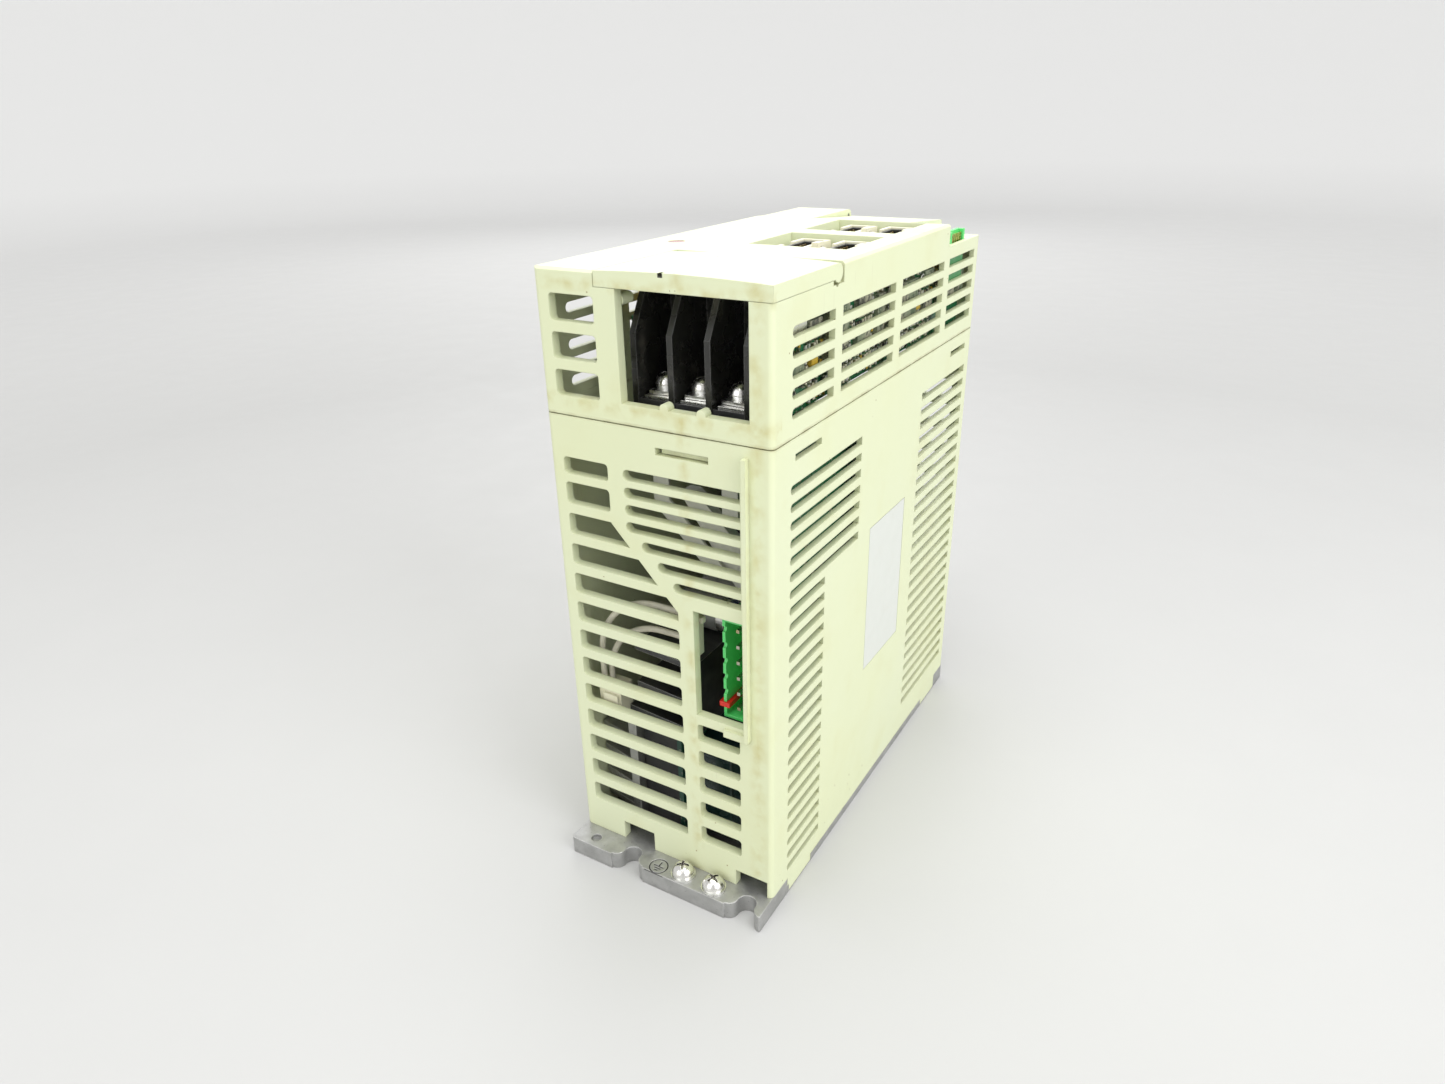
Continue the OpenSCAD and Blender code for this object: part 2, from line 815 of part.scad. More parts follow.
// Coding key clipped over the header's left wall
module te2_coding_key()
{
    z0 = te2_pin_z(0) + 0.2;
    z1 = z0 + 1.6;
    wall = 0.9;
    color(red) {
        box(te2_x0 - 1.2, te2_y0 - 0.7, z0, te2_x0 + wall + 1.3, te2_y0, z1);
        box(te2_x0 - 1.2, te2_y0 - eps, z0, te2_x0 - 0.05, te2_y0 + 2.4, z1);
        box(te2_x0 + wall + 0.05, te2_y0 - eps, z0, te2_x0 + wall + 1.3, te2_y1 - 2.4, z1);
    }
}

// ---------- signal connectors ----------

module at_connectors()
{
    for (y = conn_y)
        for (x = conn_x)
            translate([x, y, 0]) children();
}

// Ivory body of a connector, with the latch post on its right
module connector_shells()
{
    color(ivory) at_connectors() {
        difference() {
            box(0, 0, interface_z + board_t, conn_w, conn_len, case_h - 1.2);
            box(1.2, 1.4, interface_z + 5, conn_w - 1.2, conn_len - 1.4, case_h);
            box(-1, conn_len / 2 - 3, case_h - 3.2, conn_w / 2, conn_len / 2 + 3, case_h);
        }
        box(conn_w - eps, conn_len / 2 - 2.2, interface_z + 6, conn_w + 2, conn_len / 2 + 2.2,
            case_h - 0.4);
    }
}

// Contact carrier in the middle of a connector
module connector_inserts()
{
    color(black_plastic) at_connectors() difference() {
        box(1.25, 1.45, interface_z + 5, conn_w - 1.25, conn_len - 1.45, case_h - 1.7);
        box(2.3, 3, interface_z + 7, conn_w - 2.3, conn_len - 3, case_h);
    }
}

// Header that stands on the outer face of the control board and reaches through the step
module option_connector()
{
    x0 = control_x + board_t;
    color(green_plastic) difference() {
        box(x0, option_y0, option_z - 3, inner_x - 0.1, option_y1, step_z + 3.4);
        box(x0 + 1.2, option_y0 + 1.4, option_floor, half_w, option_y1 - 1.4, case_h);
    }
}

module option_pins()
{
    x = control_x + board_t + 1.7;
    color(gold) for (i = [0 : 5])
        translate([x, option_y0 + 1.9 + 2 * i, option_floor]) cube([0.6, 0.6, 4.4]);
}

// ---------- boards and what stands on them ----------

module interface_pcb()
{
    color(board_green) difference() {
        box(-inner_x + 1, -38, interface_z, control_x, far_in - 1, interface_z + board_t);
        for (spot = board_spots)
            rod_z(spot[0], spot[1], interface_z - 1, interface_z + 3, 1.6);
    }
}

// Spacers between the interface board and the front face, each with its screw head below
module pcb_standoffs()
{
    color(gold) for (spot = board_spots) {
        rod_z(spot[0], spot[1], interface_z + board_t, spot[2], 2.5);
        rod_z(spot[0], spot[1], interface_z - eps, interface_z + board_t + eps, 1.5);
        rod_z(spot[0], spot[1], interface_z - 1.8, interface_z, 2.7);
    }
}

module display_module()
{
    color(black_plastic)
        box(lid_x0 + 2.9, lid_y0 + 15.3, interface_z + board_t, lid_x1 - 2.9, lid_y0 + 23.7, field_z - 1.4);
}

module display_filter()
{
    color([0.25, 0.02, 0.02])
        box(lid_x0 + 2.7, lid_y0 + 15.1, field_z - 1.3, lid_x1 - 2.7, lid_y0 + 23.9, field_z - 0.2);
}

module tact_switches()
{
    color(black_plastic) for (x = key_x) {
        box(x - 1.9, key_y - 3, interface_z + board_t, x + 1.9, key_y + 3, interface_z + 5);
        rod_z(x, key_y, interface_z + 5 - eps, interface_z + 6, 1);
    }
}

// Key cap with its collar below the field and its stem to the switch
module key_button(x)
{
    color(ivory) {
        rod_z(x, key_y, field_z - 3, field_z + 1.4, key_r);
        rod_z(x, key_y, field_z - 3.4, field_z - 2.1, key_r + 0.5);
        rod_z(x, key_y, interface_z + 6.1 + key_travel, field_z - 3, 1);
    }
}

module mode_button() key_button(key_x[0]);

module up_button() key_button(key_x[1]);

module down_button() key_button(key_x[2]);

module set_button() key_button(key_x[3]);

module charge_lamp()
{
    color([0.6, 0.05, 0.05]) {
        rod_z(lamp_x, lamp_y, interface_z + board_t, case_h - 0.1, lamp_r);
        rod_z(lamp_x, lamp_y, interface_z + board_t, interface_z + board_t + 2, lamp_r + 0.5);
    }
}

// Upright board right behind the upper side louvres
module control_pcb()
{
    color(board_green) {
        box(control_x, near_in + 1.5, control_z0, control_x + board_t, -45, 182);
        box(control_x, -45 - eps, control_z0, control_x + board_t, step_y - 2.3, 181);
        box(control_x, step_y - 2.3 - eps, control_z0, control_x + board_t, far_in - 1.5, option_z);
    }
}

// Chips on the control board: [distance along, bottom, length, height]
module control_chips()
{
    chips = [[-62, 160, 9, 7], [-50, 169, 7, 5], [-40, 161, 14, 14], [-20, 160, 9, 6], [-20, 169, 9, 6],
        [-6, 161, 6, 12], [6, 160, 20, 13], [32, 161, 8, 5], [32, 169, 8, 5], [46, 160, 16, 7],
        [66, 161, 5, 10]];
    color(black_plastic) for (c = chips)
        box(control_x + board_t, c[0], c[1], control_x + board_t + 1.6, c[0] + c[2], c[1] + c[3]);
}

module supply_pcb()
{
    color(board_green) box(supply_x, near_in + 0.8, 54, supply_x + board_t, 30, 140);
}

module switching_transformer()
{
    color(yellow) {
        box(supply_x - 18, -42, 98, supply_x, -18, 122);
        box(supply_x - 21, -38, 102, supply_x - 18 + eps, -22, 118);
    }
}

module supply_capacitors()
{
    places = [[-16, 72, 5], [8, 72, 5], [-16, 88, 5], [8, 88, 5], [20, 80, 4], [20, 96, 4]];
    color(blue) for (c = places)
        rod_x(supply_x - 16, supply_x, c[0], c[1], c[2]);
}

module regulator_heatsink()
{
    color(dark_metal) {
        box(supply_x - 14, 12, 108, supply_x, 14, 134);
        for (x = [supply_x - 14 : 3.2 : supply_x - 4])
            box(x, 14 - eps, 108, x + 1, 20, 134);
    }
}

module power_pcb()
{
    color(board_green) box(power_x, near_y + 6.5, 8, power_x + board_t, 66, power_top);
}

// Sealed transistor module clamped against the web
module power_module()
{
    x0 = web_x + web_t;
    color(black_plastic) difference() {
        box(x0, near_y + 11, 9, power_x - 2, -4, 46);
        for (y = module_screw_y)
            rod_x(x0 - 1, power_x, y, module_screw_z, 2.2);
    }
}

module module_screws()
{
    color(bright_metal) for (y = module_screw_y)
        rod_x(web_x + 0.5, web_x + web_t + 9, y, module_screw_z, 1.95);
}

module rectifier_module()
{
    x0 = web_x + web_t;
    color(black_plastic) difference() {
        box(x0, 8, 12, x0 + 9, 38, 42);
        rod_x(x0 - 1, x0 + 10, 23, 27, 2.6);
    }
}

module inrush_relay()
{
    color(black_plastic) box(power_x + board_t, -65, 12, power_x + board_t + 15, -38, 42);
}

module current_sensors()
{
    color(black_plastic) for (y = [-8, 12])
        difference() {
            box(power_x + board_t, y, 16, power_x + board_t + 11, y + 16, 38);
            rod_x(power_x, power_x + board_t + 12, y + 8, 27, 4);
        }
}

module snubber_capacitors()
{
    color(yellow) for (z = [12, 24, 36])
        box(power_x + board_t, 36, z, power_x + board_t + 14, 58, z + 9);
}

choke_x = 22.2;
choke_y = 20;
choke_z = base_t + 11.5;

// Ring core of the input filter, standing beside the power board
module filter_choke()
{
    translate([choke_x, choke_y - 6, choke_z]) rotate([-90, 0, 0]) color(dark_metal) ring(6, 9.5, 12);
}

module choke_winding()
{
    color(copper) for (turn = [30 : 40 : 330])
        translate([choke_x, choke_y, choke_z]) rotate([0, turn, 0]) {
            box(9.55, -7, -1, 10.8, 7, 1);
            box(4.6, -7, -1, 5.9, 7, 1);
            for (y = [-7.3, 6.05])
                box(4.6, y, -1, 10.8, y + 1.25, 1);
        }
}

can_r = 14.5;
can_y = [16.5, 47.5];
can_x = fin_x0 + can_r + 0.6;

module main_capacitors()
{
    color(black_plastic) for (y = can_y) {
        rod_z(can_x, y, web_top, web_top + 62, can_r);
        for (side = [-5, 5])
            rod_z(can_x + side, y, web_top + 62 - eps, web_top + 66, 3);
    }
}

module capacitor_clamps()
{
    color(bright_metal) for (y = can_y)
        difference() {
            union() {
                rod_z(can_x, y, web_top + 5, web_top + 13, can_r + 0.8);
                box(can_x + can_r - 1, y - 3, web_top + 5, can_x + can_r + 7, y + 3, web_top + 13);
            }
            rod_z(can_x, y, web_top, web_top + 20, can_r + 0.05);
            box(can_x, y - 0.8, web_top, can_x + can_r + 9, y + 0.8, web_top + 20);
        }
}

// ---------- brake resistors on their finned sink ----------

sink_x0 = -17;
sink_x1 = 5.8;
sink_y0 = near_y + 6.8;
sink_y1 = -6;
sink_top = 75.5;
lead_block_top = 60.8;
lead_plug_x = 3.4;

module fin_stack()
{
    color(dark_metal) {
        for (z = [web_top + 2, 62.3, sink_top]) {
            x0 = z < 60 ? web_x + 0.2 : sink_x0;
            translate([0, 0, z - 2]) linear_extrude(2)
                polygon([[x0, sink_y0 + 2.2], [sink_x1, sink_y0], [sink_x1, sink_y1], [x0, sink_y1]]);
        }
        box(sink_x1 - 2.5, sink_y0, web_top, sink_x1, sink_y1, sink_top);
    }
}

module brake_resistors()
{
    r = 5.4;
    color(cast_metal) for (y = [-46.4 : 14 : -18])
        difference() {
            rod_x(-12, sink_x1 - 0.8, y, sink_top + r, r);
            rod_x(-13, -11, y, sink_top + r, 3.6);
        }
}

// Two leads that rise from the connector block and arc over to the plug on the right
module resistor_leads()
{
    lead_r = 0.95;
    // [lowest x, bend radius, height of the bend's centre, distance behind the end wall]
    leads = [[-27.4, 22, 71, 3.2], [-26.1, 20.5, 63, 5.4]];
    color(ivory) for (lead = leads) {
        y = near_in + lead[3];
        translate([lead[0] + lead[1], y, lead[2]]) rotate([90, 0, 0])
            rotate_extrude(angle = 90, start = 90) translate([lead[1], 0]) circle(lead_r);
        rod_z(lead[0], y, lead_block_top, lead[2] + eps, lead_r);
        rod_x(lead[0] + lead[1] - eps, lead_plug_x, y, lead[2] + lead[1], lead_r);
    }
}

module lead_connector()
{
    color(ivory) {
        box(-28.8, near_in + 1.8, web_top + 0.2, web_x + 0.2, near_in + 8, lead_block_top);
        box(-26.6, near_in + 0.8, 53, -21.2, near_in + 1.8 + eps, 58);
        box(lead_plug_x, near_in + 1.6, 79.5, lead_plug_x + 4.2, near_in + 6.6, 96);
        box(lead_plug_x + 4, near_in + 2.6, 91.3, lead_plug_x + 6.4, near_in + 4.6, 93.3);
    }
}

// Flat jumpers that run down behind the fine louvres, folded over at 45 degrees
module jumper_straps()
{
    w = 4.9;
    slant = w * sqrt(2);
    color(white) {
        through_end(near_in + 4.4, 0.8)
            polygon([[-5.6, 147], [-0.7, 147], [-0.7, 126.5], [18, 107.8], [18 - slant, 107.8],
                [-5.6, 124.4]]);
        through_end(near_in + 5.6, 3.4)
            polygon([[3.5, 130], [7, 130], [26.5, 110.5], [26.5, 103.6], [26.4 - slant, 103.6],
                [3.5, 126.5]]);
        through_end(near_in + 2.4, 0.8)
            polygon([[17.2, 147], [22, 147], [22, 125], [17.2, 125]]);
    }
}

// Three leads from the terminal block back and down to the output terminals
module power_leads()
{
    bend = 6;
    lead_r = 1.6;
    color(white) for (i = [0 : 2]) {
        x = te1_mid(i);
        translate([x, output_y - bend, lead_z - bend]) rotate([90, 0, 90])
            rotate_extrude(angle = 90) translate([bend, 0]) circle(lead_r);
        rod_y(x, lead_y, output_y - bend + 0.1, lead_z, lead_r - 0.02);
        rod_z(x, output_y, output_top, lead_z - bend + 0.1, lead_r - 0.02);
    }
}

module output_terminals()
{
    color(black_plastic) box(-9, output_y - 2.4, power_top, 20, output_y + 2.4, output_top);
}

module rating_label()
{
    color(white) box(half_w - label_t, label_y0, label_z0, half_w - 0.02, label_y0 + label_len,
        label_z0 + label_h);
}

heatsink_base();
earth_screws();
earth_washers();
lower_housing();
upper_housing();
terminal_cover();
display_lid();
lid_pins();
te1_block();
te1_plates();
te1_washers();
te1_screws();
te2_header();
te2_pins();
te2_coding_key();
connector_shells();
connector_inserts();
option_connector();
option_pins();
interface_pcb();
pcb_standoffs();
display_module();
display_filter();
tact_switches();
mode_button();
up_button();
down_button();
set_button();
charge_lamp();
control_pcb();
control_chips();
supply_pcb();
switching_transformer();
supply_capacitors();
regulator_heatsink();
power_pcb();
power_module();
module_screws();
rectifier_module();
inrush_relay();
current_sensors();
snubber_capacitors();
filter_choke();
choke_winding();
main_capacitors();
capacitor_clamps();
fin_stack();
brake_resistors();
resistor_leads();
lead_connector();
jumper_straps();
power_leads();
output_terminals();
rating_label();
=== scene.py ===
"""Looks of the servo drive: materials, small visible parts, floor, light and camera round the CAD part."""

import json
import math
import random

import bmesh
import bpy
from mathutils import Matrix, Vector


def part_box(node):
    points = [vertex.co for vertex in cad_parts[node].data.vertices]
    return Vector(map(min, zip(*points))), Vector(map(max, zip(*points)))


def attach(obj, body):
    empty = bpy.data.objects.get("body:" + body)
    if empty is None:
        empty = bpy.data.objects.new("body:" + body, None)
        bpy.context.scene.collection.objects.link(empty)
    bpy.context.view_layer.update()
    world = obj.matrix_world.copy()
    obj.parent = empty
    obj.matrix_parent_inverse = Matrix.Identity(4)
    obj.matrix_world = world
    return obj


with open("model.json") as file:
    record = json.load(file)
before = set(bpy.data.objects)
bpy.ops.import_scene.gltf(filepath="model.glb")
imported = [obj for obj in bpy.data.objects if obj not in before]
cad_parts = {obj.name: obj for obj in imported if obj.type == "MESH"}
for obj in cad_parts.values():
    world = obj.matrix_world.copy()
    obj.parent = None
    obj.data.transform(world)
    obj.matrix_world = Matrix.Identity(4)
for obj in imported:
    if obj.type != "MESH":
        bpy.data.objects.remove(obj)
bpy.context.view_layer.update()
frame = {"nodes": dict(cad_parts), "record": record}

MM = 0.001
BODY = "drive_body"
BOARD_THICK = 1.6
CHIP_LEG_PITCH = 1.27
HEADER_PITCH = 5.08
SLOT_OF = {part["node"]: part["material_slot"] for part in frame["record"]["subparts"]}


# ---------- reading the CAD nodes ----------


def node_box(name):
    """Lowest and highest corner of a CAD node, in millimetres."""
    low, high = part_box(name)
    return low / MM, high / MM


def solids(name):
    """Lowest and highest corner, in millimetres, of each separate solid of a CAD node, sorted by place."""
    mesh = bmesh.new()
    mesh.from_mesh(frame["nodes"][name].data)
    bmesh.ops.remove_doubles(mesh, verts=mesh.verts, dist=1e-6)
    boxes = []
    unseen = set(mesh.verts)
    while unseen:
        queue = [unseen.pop()]
        points = []
        while queue:
            vertex = queue.pop()
            points.append(vertex.co / MM)
            for edge in vertex.link_edges:
                other = edge.other_vert(vertex)
                if other in unseen:
                    unseen.remove(other)
                    queue.append(other)
        low = Vector([min(p[axis] for p in points) for axis in range(3)])
        high = Vector([max(p[axis] for p in points) for axis in range(3)])
        boxes.append((low, high))
    mesh.free()
    return sorted(boxes, key=lambda b: [round(value, 1) for value in b[0]])


# ---------- node-tree helper ----------


class Paint:
    """A material's node tree, with short names for the nodes that the materials share."""

    def __init__(self, name, color, roughness, metallic=0.0):
        self.material = bpy.data.materials.new(name)
        self.material.use_nodes = True
        self.tree = self.material.node_tree
        self.shader = self.tree.nodes["Principled BSDF"]
        self.set("Base Color", (*color, 1.0))
        self.set("Roughness", roughness)
        self.set("Metallic", metallic)
        self.place = self.node("ShaderNodeTexCoord").outputs["Object"]
        self.color = self.rgb(color)
        self.height = None

    def node(self, kind, **settings):
        made = self.tree.nodes.new(kind)
        for key, value in settings.items():
            setattr(made, key, value)
        return made

    def set(self, socket, value):
        self.shader.inputs[socket].default_value = value

    def join(self, source, target):
        if isinstance(source, (int, float)):
            target.default_value = source
        else:
            self.tree.links.new(source, target)

    def rgb(self, color):
        made = self.node("ShaderNodeRGB")
        made.outputs[0].default_value = (*color, 1.0)
        return made.outputs[0]

    def stretched(self, stretch):
        """The object's coordinates, scaled along each axis."""
        made = self.node("ShaderNodeMapping")
        made.inputs["Scale"].default_value = stretch
        self.join(self.place, made.inputs["Vector"])
        return made.outputs["Vector"]

    def noise(self, scale, detail=3.0, stretch=None):
        made = self.node("ShaderNodeTexNoise")
        made.inputs["Scale"].default_value = scale
        made.inputs["Detail"].default_value = detail
        self.join(self.stretched(stretch) if stretch else self.place, made.inputs["Vector"])
        return made.outputs["Fac"]

    def cells(self, scale, stretch=None, feature="F1"):
        made = self.node("ShaderNodeTexVoronoi", feature=feature)
        made.inputs["Scale"].default_value = scale
        self.join(self.stretched(stretch) if stretch else self.place, made.inputs["Vector"])
        return made.outputs["Distance"]

    def span(self, value, low, high, to_low=0.0, to_high=1.0):
        """Value from low to high, turned into to_low to to_high and held there beyond."""
        made = self.node("ShaderNodeMapRange")
        for socket, number in zip(("From Min", "From Max", "To Min", "To Max"), (low, high, to_low, to_high)):
            made.inputs[socket].default_value = number
        self.join(value, made.inputs["Value"])
        return made.outputs["Result"]

    def math(self, operation, first, second=0.0):
        made = self.node("ShaderNodeMath", operation=operation)
        self.join(first, made.inputs[0])
        self.join(second, made.inputs[1])
        return made.outputs[0]

    def tint(self, mask, color, blend="MIX"):
        """Lays a colour over the material's colour where the mask is 1."""
        made = self.node("ShaderNodeMix", data_type="RGBA", blend_type=blend)
        self.join(mask, made.inputs[0])
        self.join(self.color, made.inputs[6])
        made.inputs[7].default_value = (*color, 1.0)
        self.color = made.outputs[2]

    def axis(self, name):
        made = self.node("ShaderNodeSeparateXYZ")
        self.join(self.place, made.inputs[0])
        return made.outputs[name]

    def near(self, axis, value, width):
        """1 at a coordinate in millimetres, falling to 0 at width from it."""
        offset = self.math("ABSOLUTE", self.math("SUBTRACT", self.axis(axis), value * MM))
        return self.span(offset, 0.0, width * MM, 1.0, 0.0)

    def inside(self, axis, low, high):
        """1 where a coordinate in millimetres lies between low and high."""
        above = self.math("GREATER_THAN", self.axis(axis), low * MM)
        below = self.math("LESS_THAN", self.axis(axis), high * MM)
        return self.math("MULTIPLY", above, below)

    def crevices(self, reach):
        """1 in corners and hollows, within reach in millimetres."""
        made = self.node("ShaderNodeAmbientOcclusion", samples=4)
        made.inputs["Distance"].default_value = reach * MM
        return self.math("SUBTRACT", 1.0, made.outputs["AO"])

    def edges(self, radius):
        """1 on outer edges, found where a rounded normal differs from the flat one."""
        rounded = self.node("ShaderNodeBevel", samples=4)
        rounded.inputs["Radius"].default_value = radius * MM
        flat = self.node("ShaderNodeNewGeometry")
        product = self.node("ShaderNodeVectorMath", operation="DOT_PRODUCT")
        self.join(rounded.outputs["Normal"], product.inputs[0])
        self.join(flat.outputs["True Normal"], product.inputs[1])
        return self.span(product.outputs["Value"], 0.99, 0.8)

    def raise_by(self, value, depth):
        """Adds value times depth, in millimetres, to the bump."""
        part = self.math("MULTIPLY", value, depth * MM)
        self.height = part if self.height is None else self.math("ADD", self.height, part)

    def rough(self, value, low, high):
        self.join(self.span(value, 0.3, 0.7, low, high), self.shader.inputs["Roughness"])

    def done(self, soft_edge=0.0):
        """Joins colour, bump and softened edges to the shader."""
        self.join(self.color, self.shader.inputs["Base Color"])
        bump = self.node("ShaderNodeBump")
        bump.inputs["Distance"].default_value = 1.0
        self.join(self.height, bump.inputs["Height"])
        if soft_edge:
            rounded = self.node("ShaderNodeBevel", samples=4)
            rounded.inputs["Radius"].default_value = soft_edge * MM
            self.join(rounded.outputs["Normal"], bump.inputs["Normal"])
        self.join(bump.outputs["Normal"], self.shader.inputs["Normal"])
        return self.material


# ---------- materials ----------

SEAM_Z = node_box("lower_housing")[1].z - 2.0
BASE_TOP = 6.0
GRIME = (0.25, 0.19, 0.06)
STAIN = (0.50, 0.45, 0.17)
# Where hands and cables stained the near end: axis, place and width in millimetres
HANDLED = (("X", 30.5, 3.5), ("Z", 183.5, 2.5), ("Z", 152.5, 3.0), ("X", 9.2, 2.5))
DUST = (0.42, 0.39, 0.31)
# Place of a painted dark spot: the shade inside a small hole in the near edge of the terminal cover
HOLE_X, HOLE_Z = 4.6, 187.3


def case_plastic():
    """Yellowed moulded plastic with a fine spark texture, scuffs and brown dirt in its corners."""
    p = Paint("case_plastic", (0.66, 0.70, 0.48), 0.42)
    p.tint(p.span(p.noise(14, 4), 0.35, 0.7, 0.0, 0.5), (0.66, 0.69, 0.41))
    p.tint(p.span(p.noise(55, 5), 0.55, 0.8, 0.0, 0.4), (0.60, 0.60, 0.34))
    scratch = p.span(p.noise(90, 4, (14, 14, 0.6)), 0.66, 0.72, 0.0, 0.4)
    patch = p.span(p.noise(30, 2), 0.55, 0.65)
    p.tint(p.math("MULTIPLY", scratch, patch), (0.50, 0.46, 0.30))
    smear = p.span(p.noise(120, 5), 0.35, 0.75)
    p.tint(p.math("MULTIPLY", p.span(p.crevices(4.0), 0.3, 0.9, 0.0, 0.7), smear), GRIME)
    near_end = p.inside("Y", -80.0, -71.0)
    for axis, place, width in HANDLED:
        patches = p.span(p.noise(230, 7), 0.42, 0.7, 0.0, 0.6)
        blotches = p.math("MULTIPLY", p.near(axis, place, width), patches)
        p.tint(p.math("MULTIPLY", blotches, near_end), STAIN)
    seam = p.math("MULTIPLY", p.near("Z", SEAM_Z, 0.9), p.span(p.noise(160, 4), 0.4, 0.7, 0.1, 0.6))
    p.tint(seam, GRIME)
    specks = p.span(p.cells(260), 0.09, 0.05, 0.0, 0.8)
    rare = p.math("GREATER_THAN", p.noise(38, 2), 0.62)
    p.tint(p.math("MULTIPLY", specks, rare), GRIME)
    # Painted shade: a near-black spot where a small hole in the terminal cover shows dark
    painted_hole_shade = p.math("MULTIPLY", p.near("X", HOLE_X, 1.0), p.inside("Z", HOLE_Z - 0.7, HOLE_Z + 0.3))
    painted_hole_shade = p.math("MULTIPLY", painted_hole_shade, p.inside("Y", -76.0, -73.5))
    p.tint(p.span(painted_hole_shade, 0.2, 0.4), (0.03, 0.03, 0.02))
    p.rough(p.noise(70, 4), 0.36, 0.52)
    p.raise_by(p.noise(2600, 2), 0.02)
    p.raise_by(p.noise(60, 2), 0.02)
    return p.done(soft_edge=0.35)


def cast_base():
    """Die-cast aluminium: pitted skin, a painted highlight on the edges and painted shade in the hollows."""
    p = Paint("cast_base", (0.37, 0.37, 0.36), 0.45, 0.75)
    p.tint(p.span(p.noise(240, 5), 0.35, 0.7), (0.46, 0.46, 0.45))
    p.tint(p.span(p.cells(700), 0.16, 0.08, 0.0, 0.5), (0.16, 0.16, 0.15))
    # Painted highlight: lighter patches along the outer edges
    p.tint(p.math("MULTIPLY", p.edges(0.7), p.span(p.noise(150), 0.3, 0.6)), (0.66, 0.66, 0.65))
    # Painted shade: near-black where ambient occlusion finds hollows
    p.tint(p.span(p.crevices(3.0), 0.45, 1.0, 0.0, 0.8), (0.08, 0.075, 0.065))
    engraved = p.math("MULTIPLY", p.inside("Z", BASE_TOP - 0.5, BASE_TOP - 0.1), p.inside("X", -6.0, 1.0))
    p.tint(p.math("MULTIPLY", engraved, 0.8), (0.05, 0.05, 0.05))
    p.rough(p.noise(300, 4), 0.34, 0.58)
    p.raise_by(p.noise(1300, 4), 0.05)
    p.raise_by(p.noise(220, 2), 0.04)
    return p.done(soft_edge=0.5)


def bright_screw():
    """Nickel plate with turning marks and painted shade in the cross recess."""
    p = Paint("bright_screw", (0.80, 0.79, 0.76), 0.2, 1.0)
    p.tint(p.span(p.noise(500, 4), 0.45, 0.75, 0.0, 0.5), (0.55, 0.52, 0.46))
    # Painted shade: dark where ambient occlusion finds the cross recess
    p.tint(p.span(p.crevices(1.6), 0.5, 1.0, 0.0, 0.9), (0.10, 0.08, 0.06))
    p.rough(p.noise(900, 3), 0.12, 0.34)
    p.raise_by(p.noise(1800, 3), 0.012)
    return p.done(soft_edge=0.15)


def plated_steel():
    """Zinc plate that has gone brownish where hands and cables touched it."""
    p = Paint("plated_steel", (0.80, 0.80, 0.77), 0.3, 1.0)
    p.tint(p.span(p.noise(320, 5), 0.52, 0.75, 0.0, 0.5), (0.45, 0.38, 0.28))
    p.tint(p.span(p.cells(480), 0.14, 0.06, 0.0, 0.4), (0.22, 0.16, 0.10))
    p.rough(p.noise(420, 4), 0.18, 0.42)
    p.raise_by(p.noise(900, 3), 0.02)
    return p.done(soft_edge=0.12)


def steel_pin():
    """Dark drawn steel with lengthwise marks."""
    p = Paint("steel_pin", (0.24, 0.24, 0.25), 0.35, 1.0)
    p.tint(p.span(p.noise(700, 3, (0.1, 1, 1)), 0.4, 0.7), (0.38, 0.37, 0.36))
    p.rough(p.noise(800, 2), 0.25, 0.45)
    p.raise_by(p.noise(1500, 2, (0.1, 1, 1)), 0.01)
    return p.done()


def tinned_pin():
    """Tinned contact metal, slightly dull, with gold-coloured dirt."""
    p = Paint("tinned_pin", (0.46, 0.44, 0.36), 0.36, 1.0)
    p.tint(p.span(p.noise(600, 3), 0.5, 0.75), (0.40, 0.32, 0.16))
    p.rough(p.noise(800, 2), 0.2, 0.42)
    p.raise_by(p.noise(1600, 2), 0.01)
    return p.done(soft_edge=0.1)


def gold_pin():
    """Gold flash over nickel, worn pale in places."""
    p = Paint("gold_pin", (0.83, 0.60, 0.22), 0.25, 1.0)
    p.tint(p.span(p.noise(700, 3), 0.5, 0.8), (0.72, 0.64, 0.45))
    p.rough(p.noise(700, 2), 0.18, 0.38)
    p.raise_by(p.noise(1600, 2), 0.008)
    return p.done(soft_edge=0.1)


def glossy_black():
    """Moulded phenolic: glossy faces, a painted highlight on the edges and settled dust."""
    p = Paint("glossy_black", (0.022, 0.022, 0.019), 0.22)
    # Painted highlight: grey along the outer edges
    p.tint(p.math("MULTIPLY", p.edges(0.5), p.span(p.noise(240), 0.35, 0.6, 0.15, 0.8)), (0.16, 0.16, 0.16))
    p.tint(p.span(p.noise(130, 6), 0.56, 0.8, 0.0, 0.22), DUST)
    p.rough(p.noise(160, 4), 0.16, 0.38)
    p.raise_by(p.noise(500, 3), 0.008)
    return p.done(soft_edge=0.3)


def epoxy_black():
    """Matt moulded epoxy of chips and modules."""
    p = Paint("epoxy_black", (0.028, 0.028, 0.03), 0.5)
    p.tint(p.span(p.noise(200, 5), 0.5, 0.8, 0.0, 0.3), (0.10, 0.095, 0.085))
    # Painted highlight: lighter grey along the outer edges
    p.tint(p.math("MULTIPLY", p.edges(0.4), 0.5), (0.12, 0.12, 0.12))
    p.rough(p.noise(300, 3), 0.42, 0.62)
    p.raise_by(p.noise(1500, 3), 0.02)
    return p.done(soft_edge=0.2)


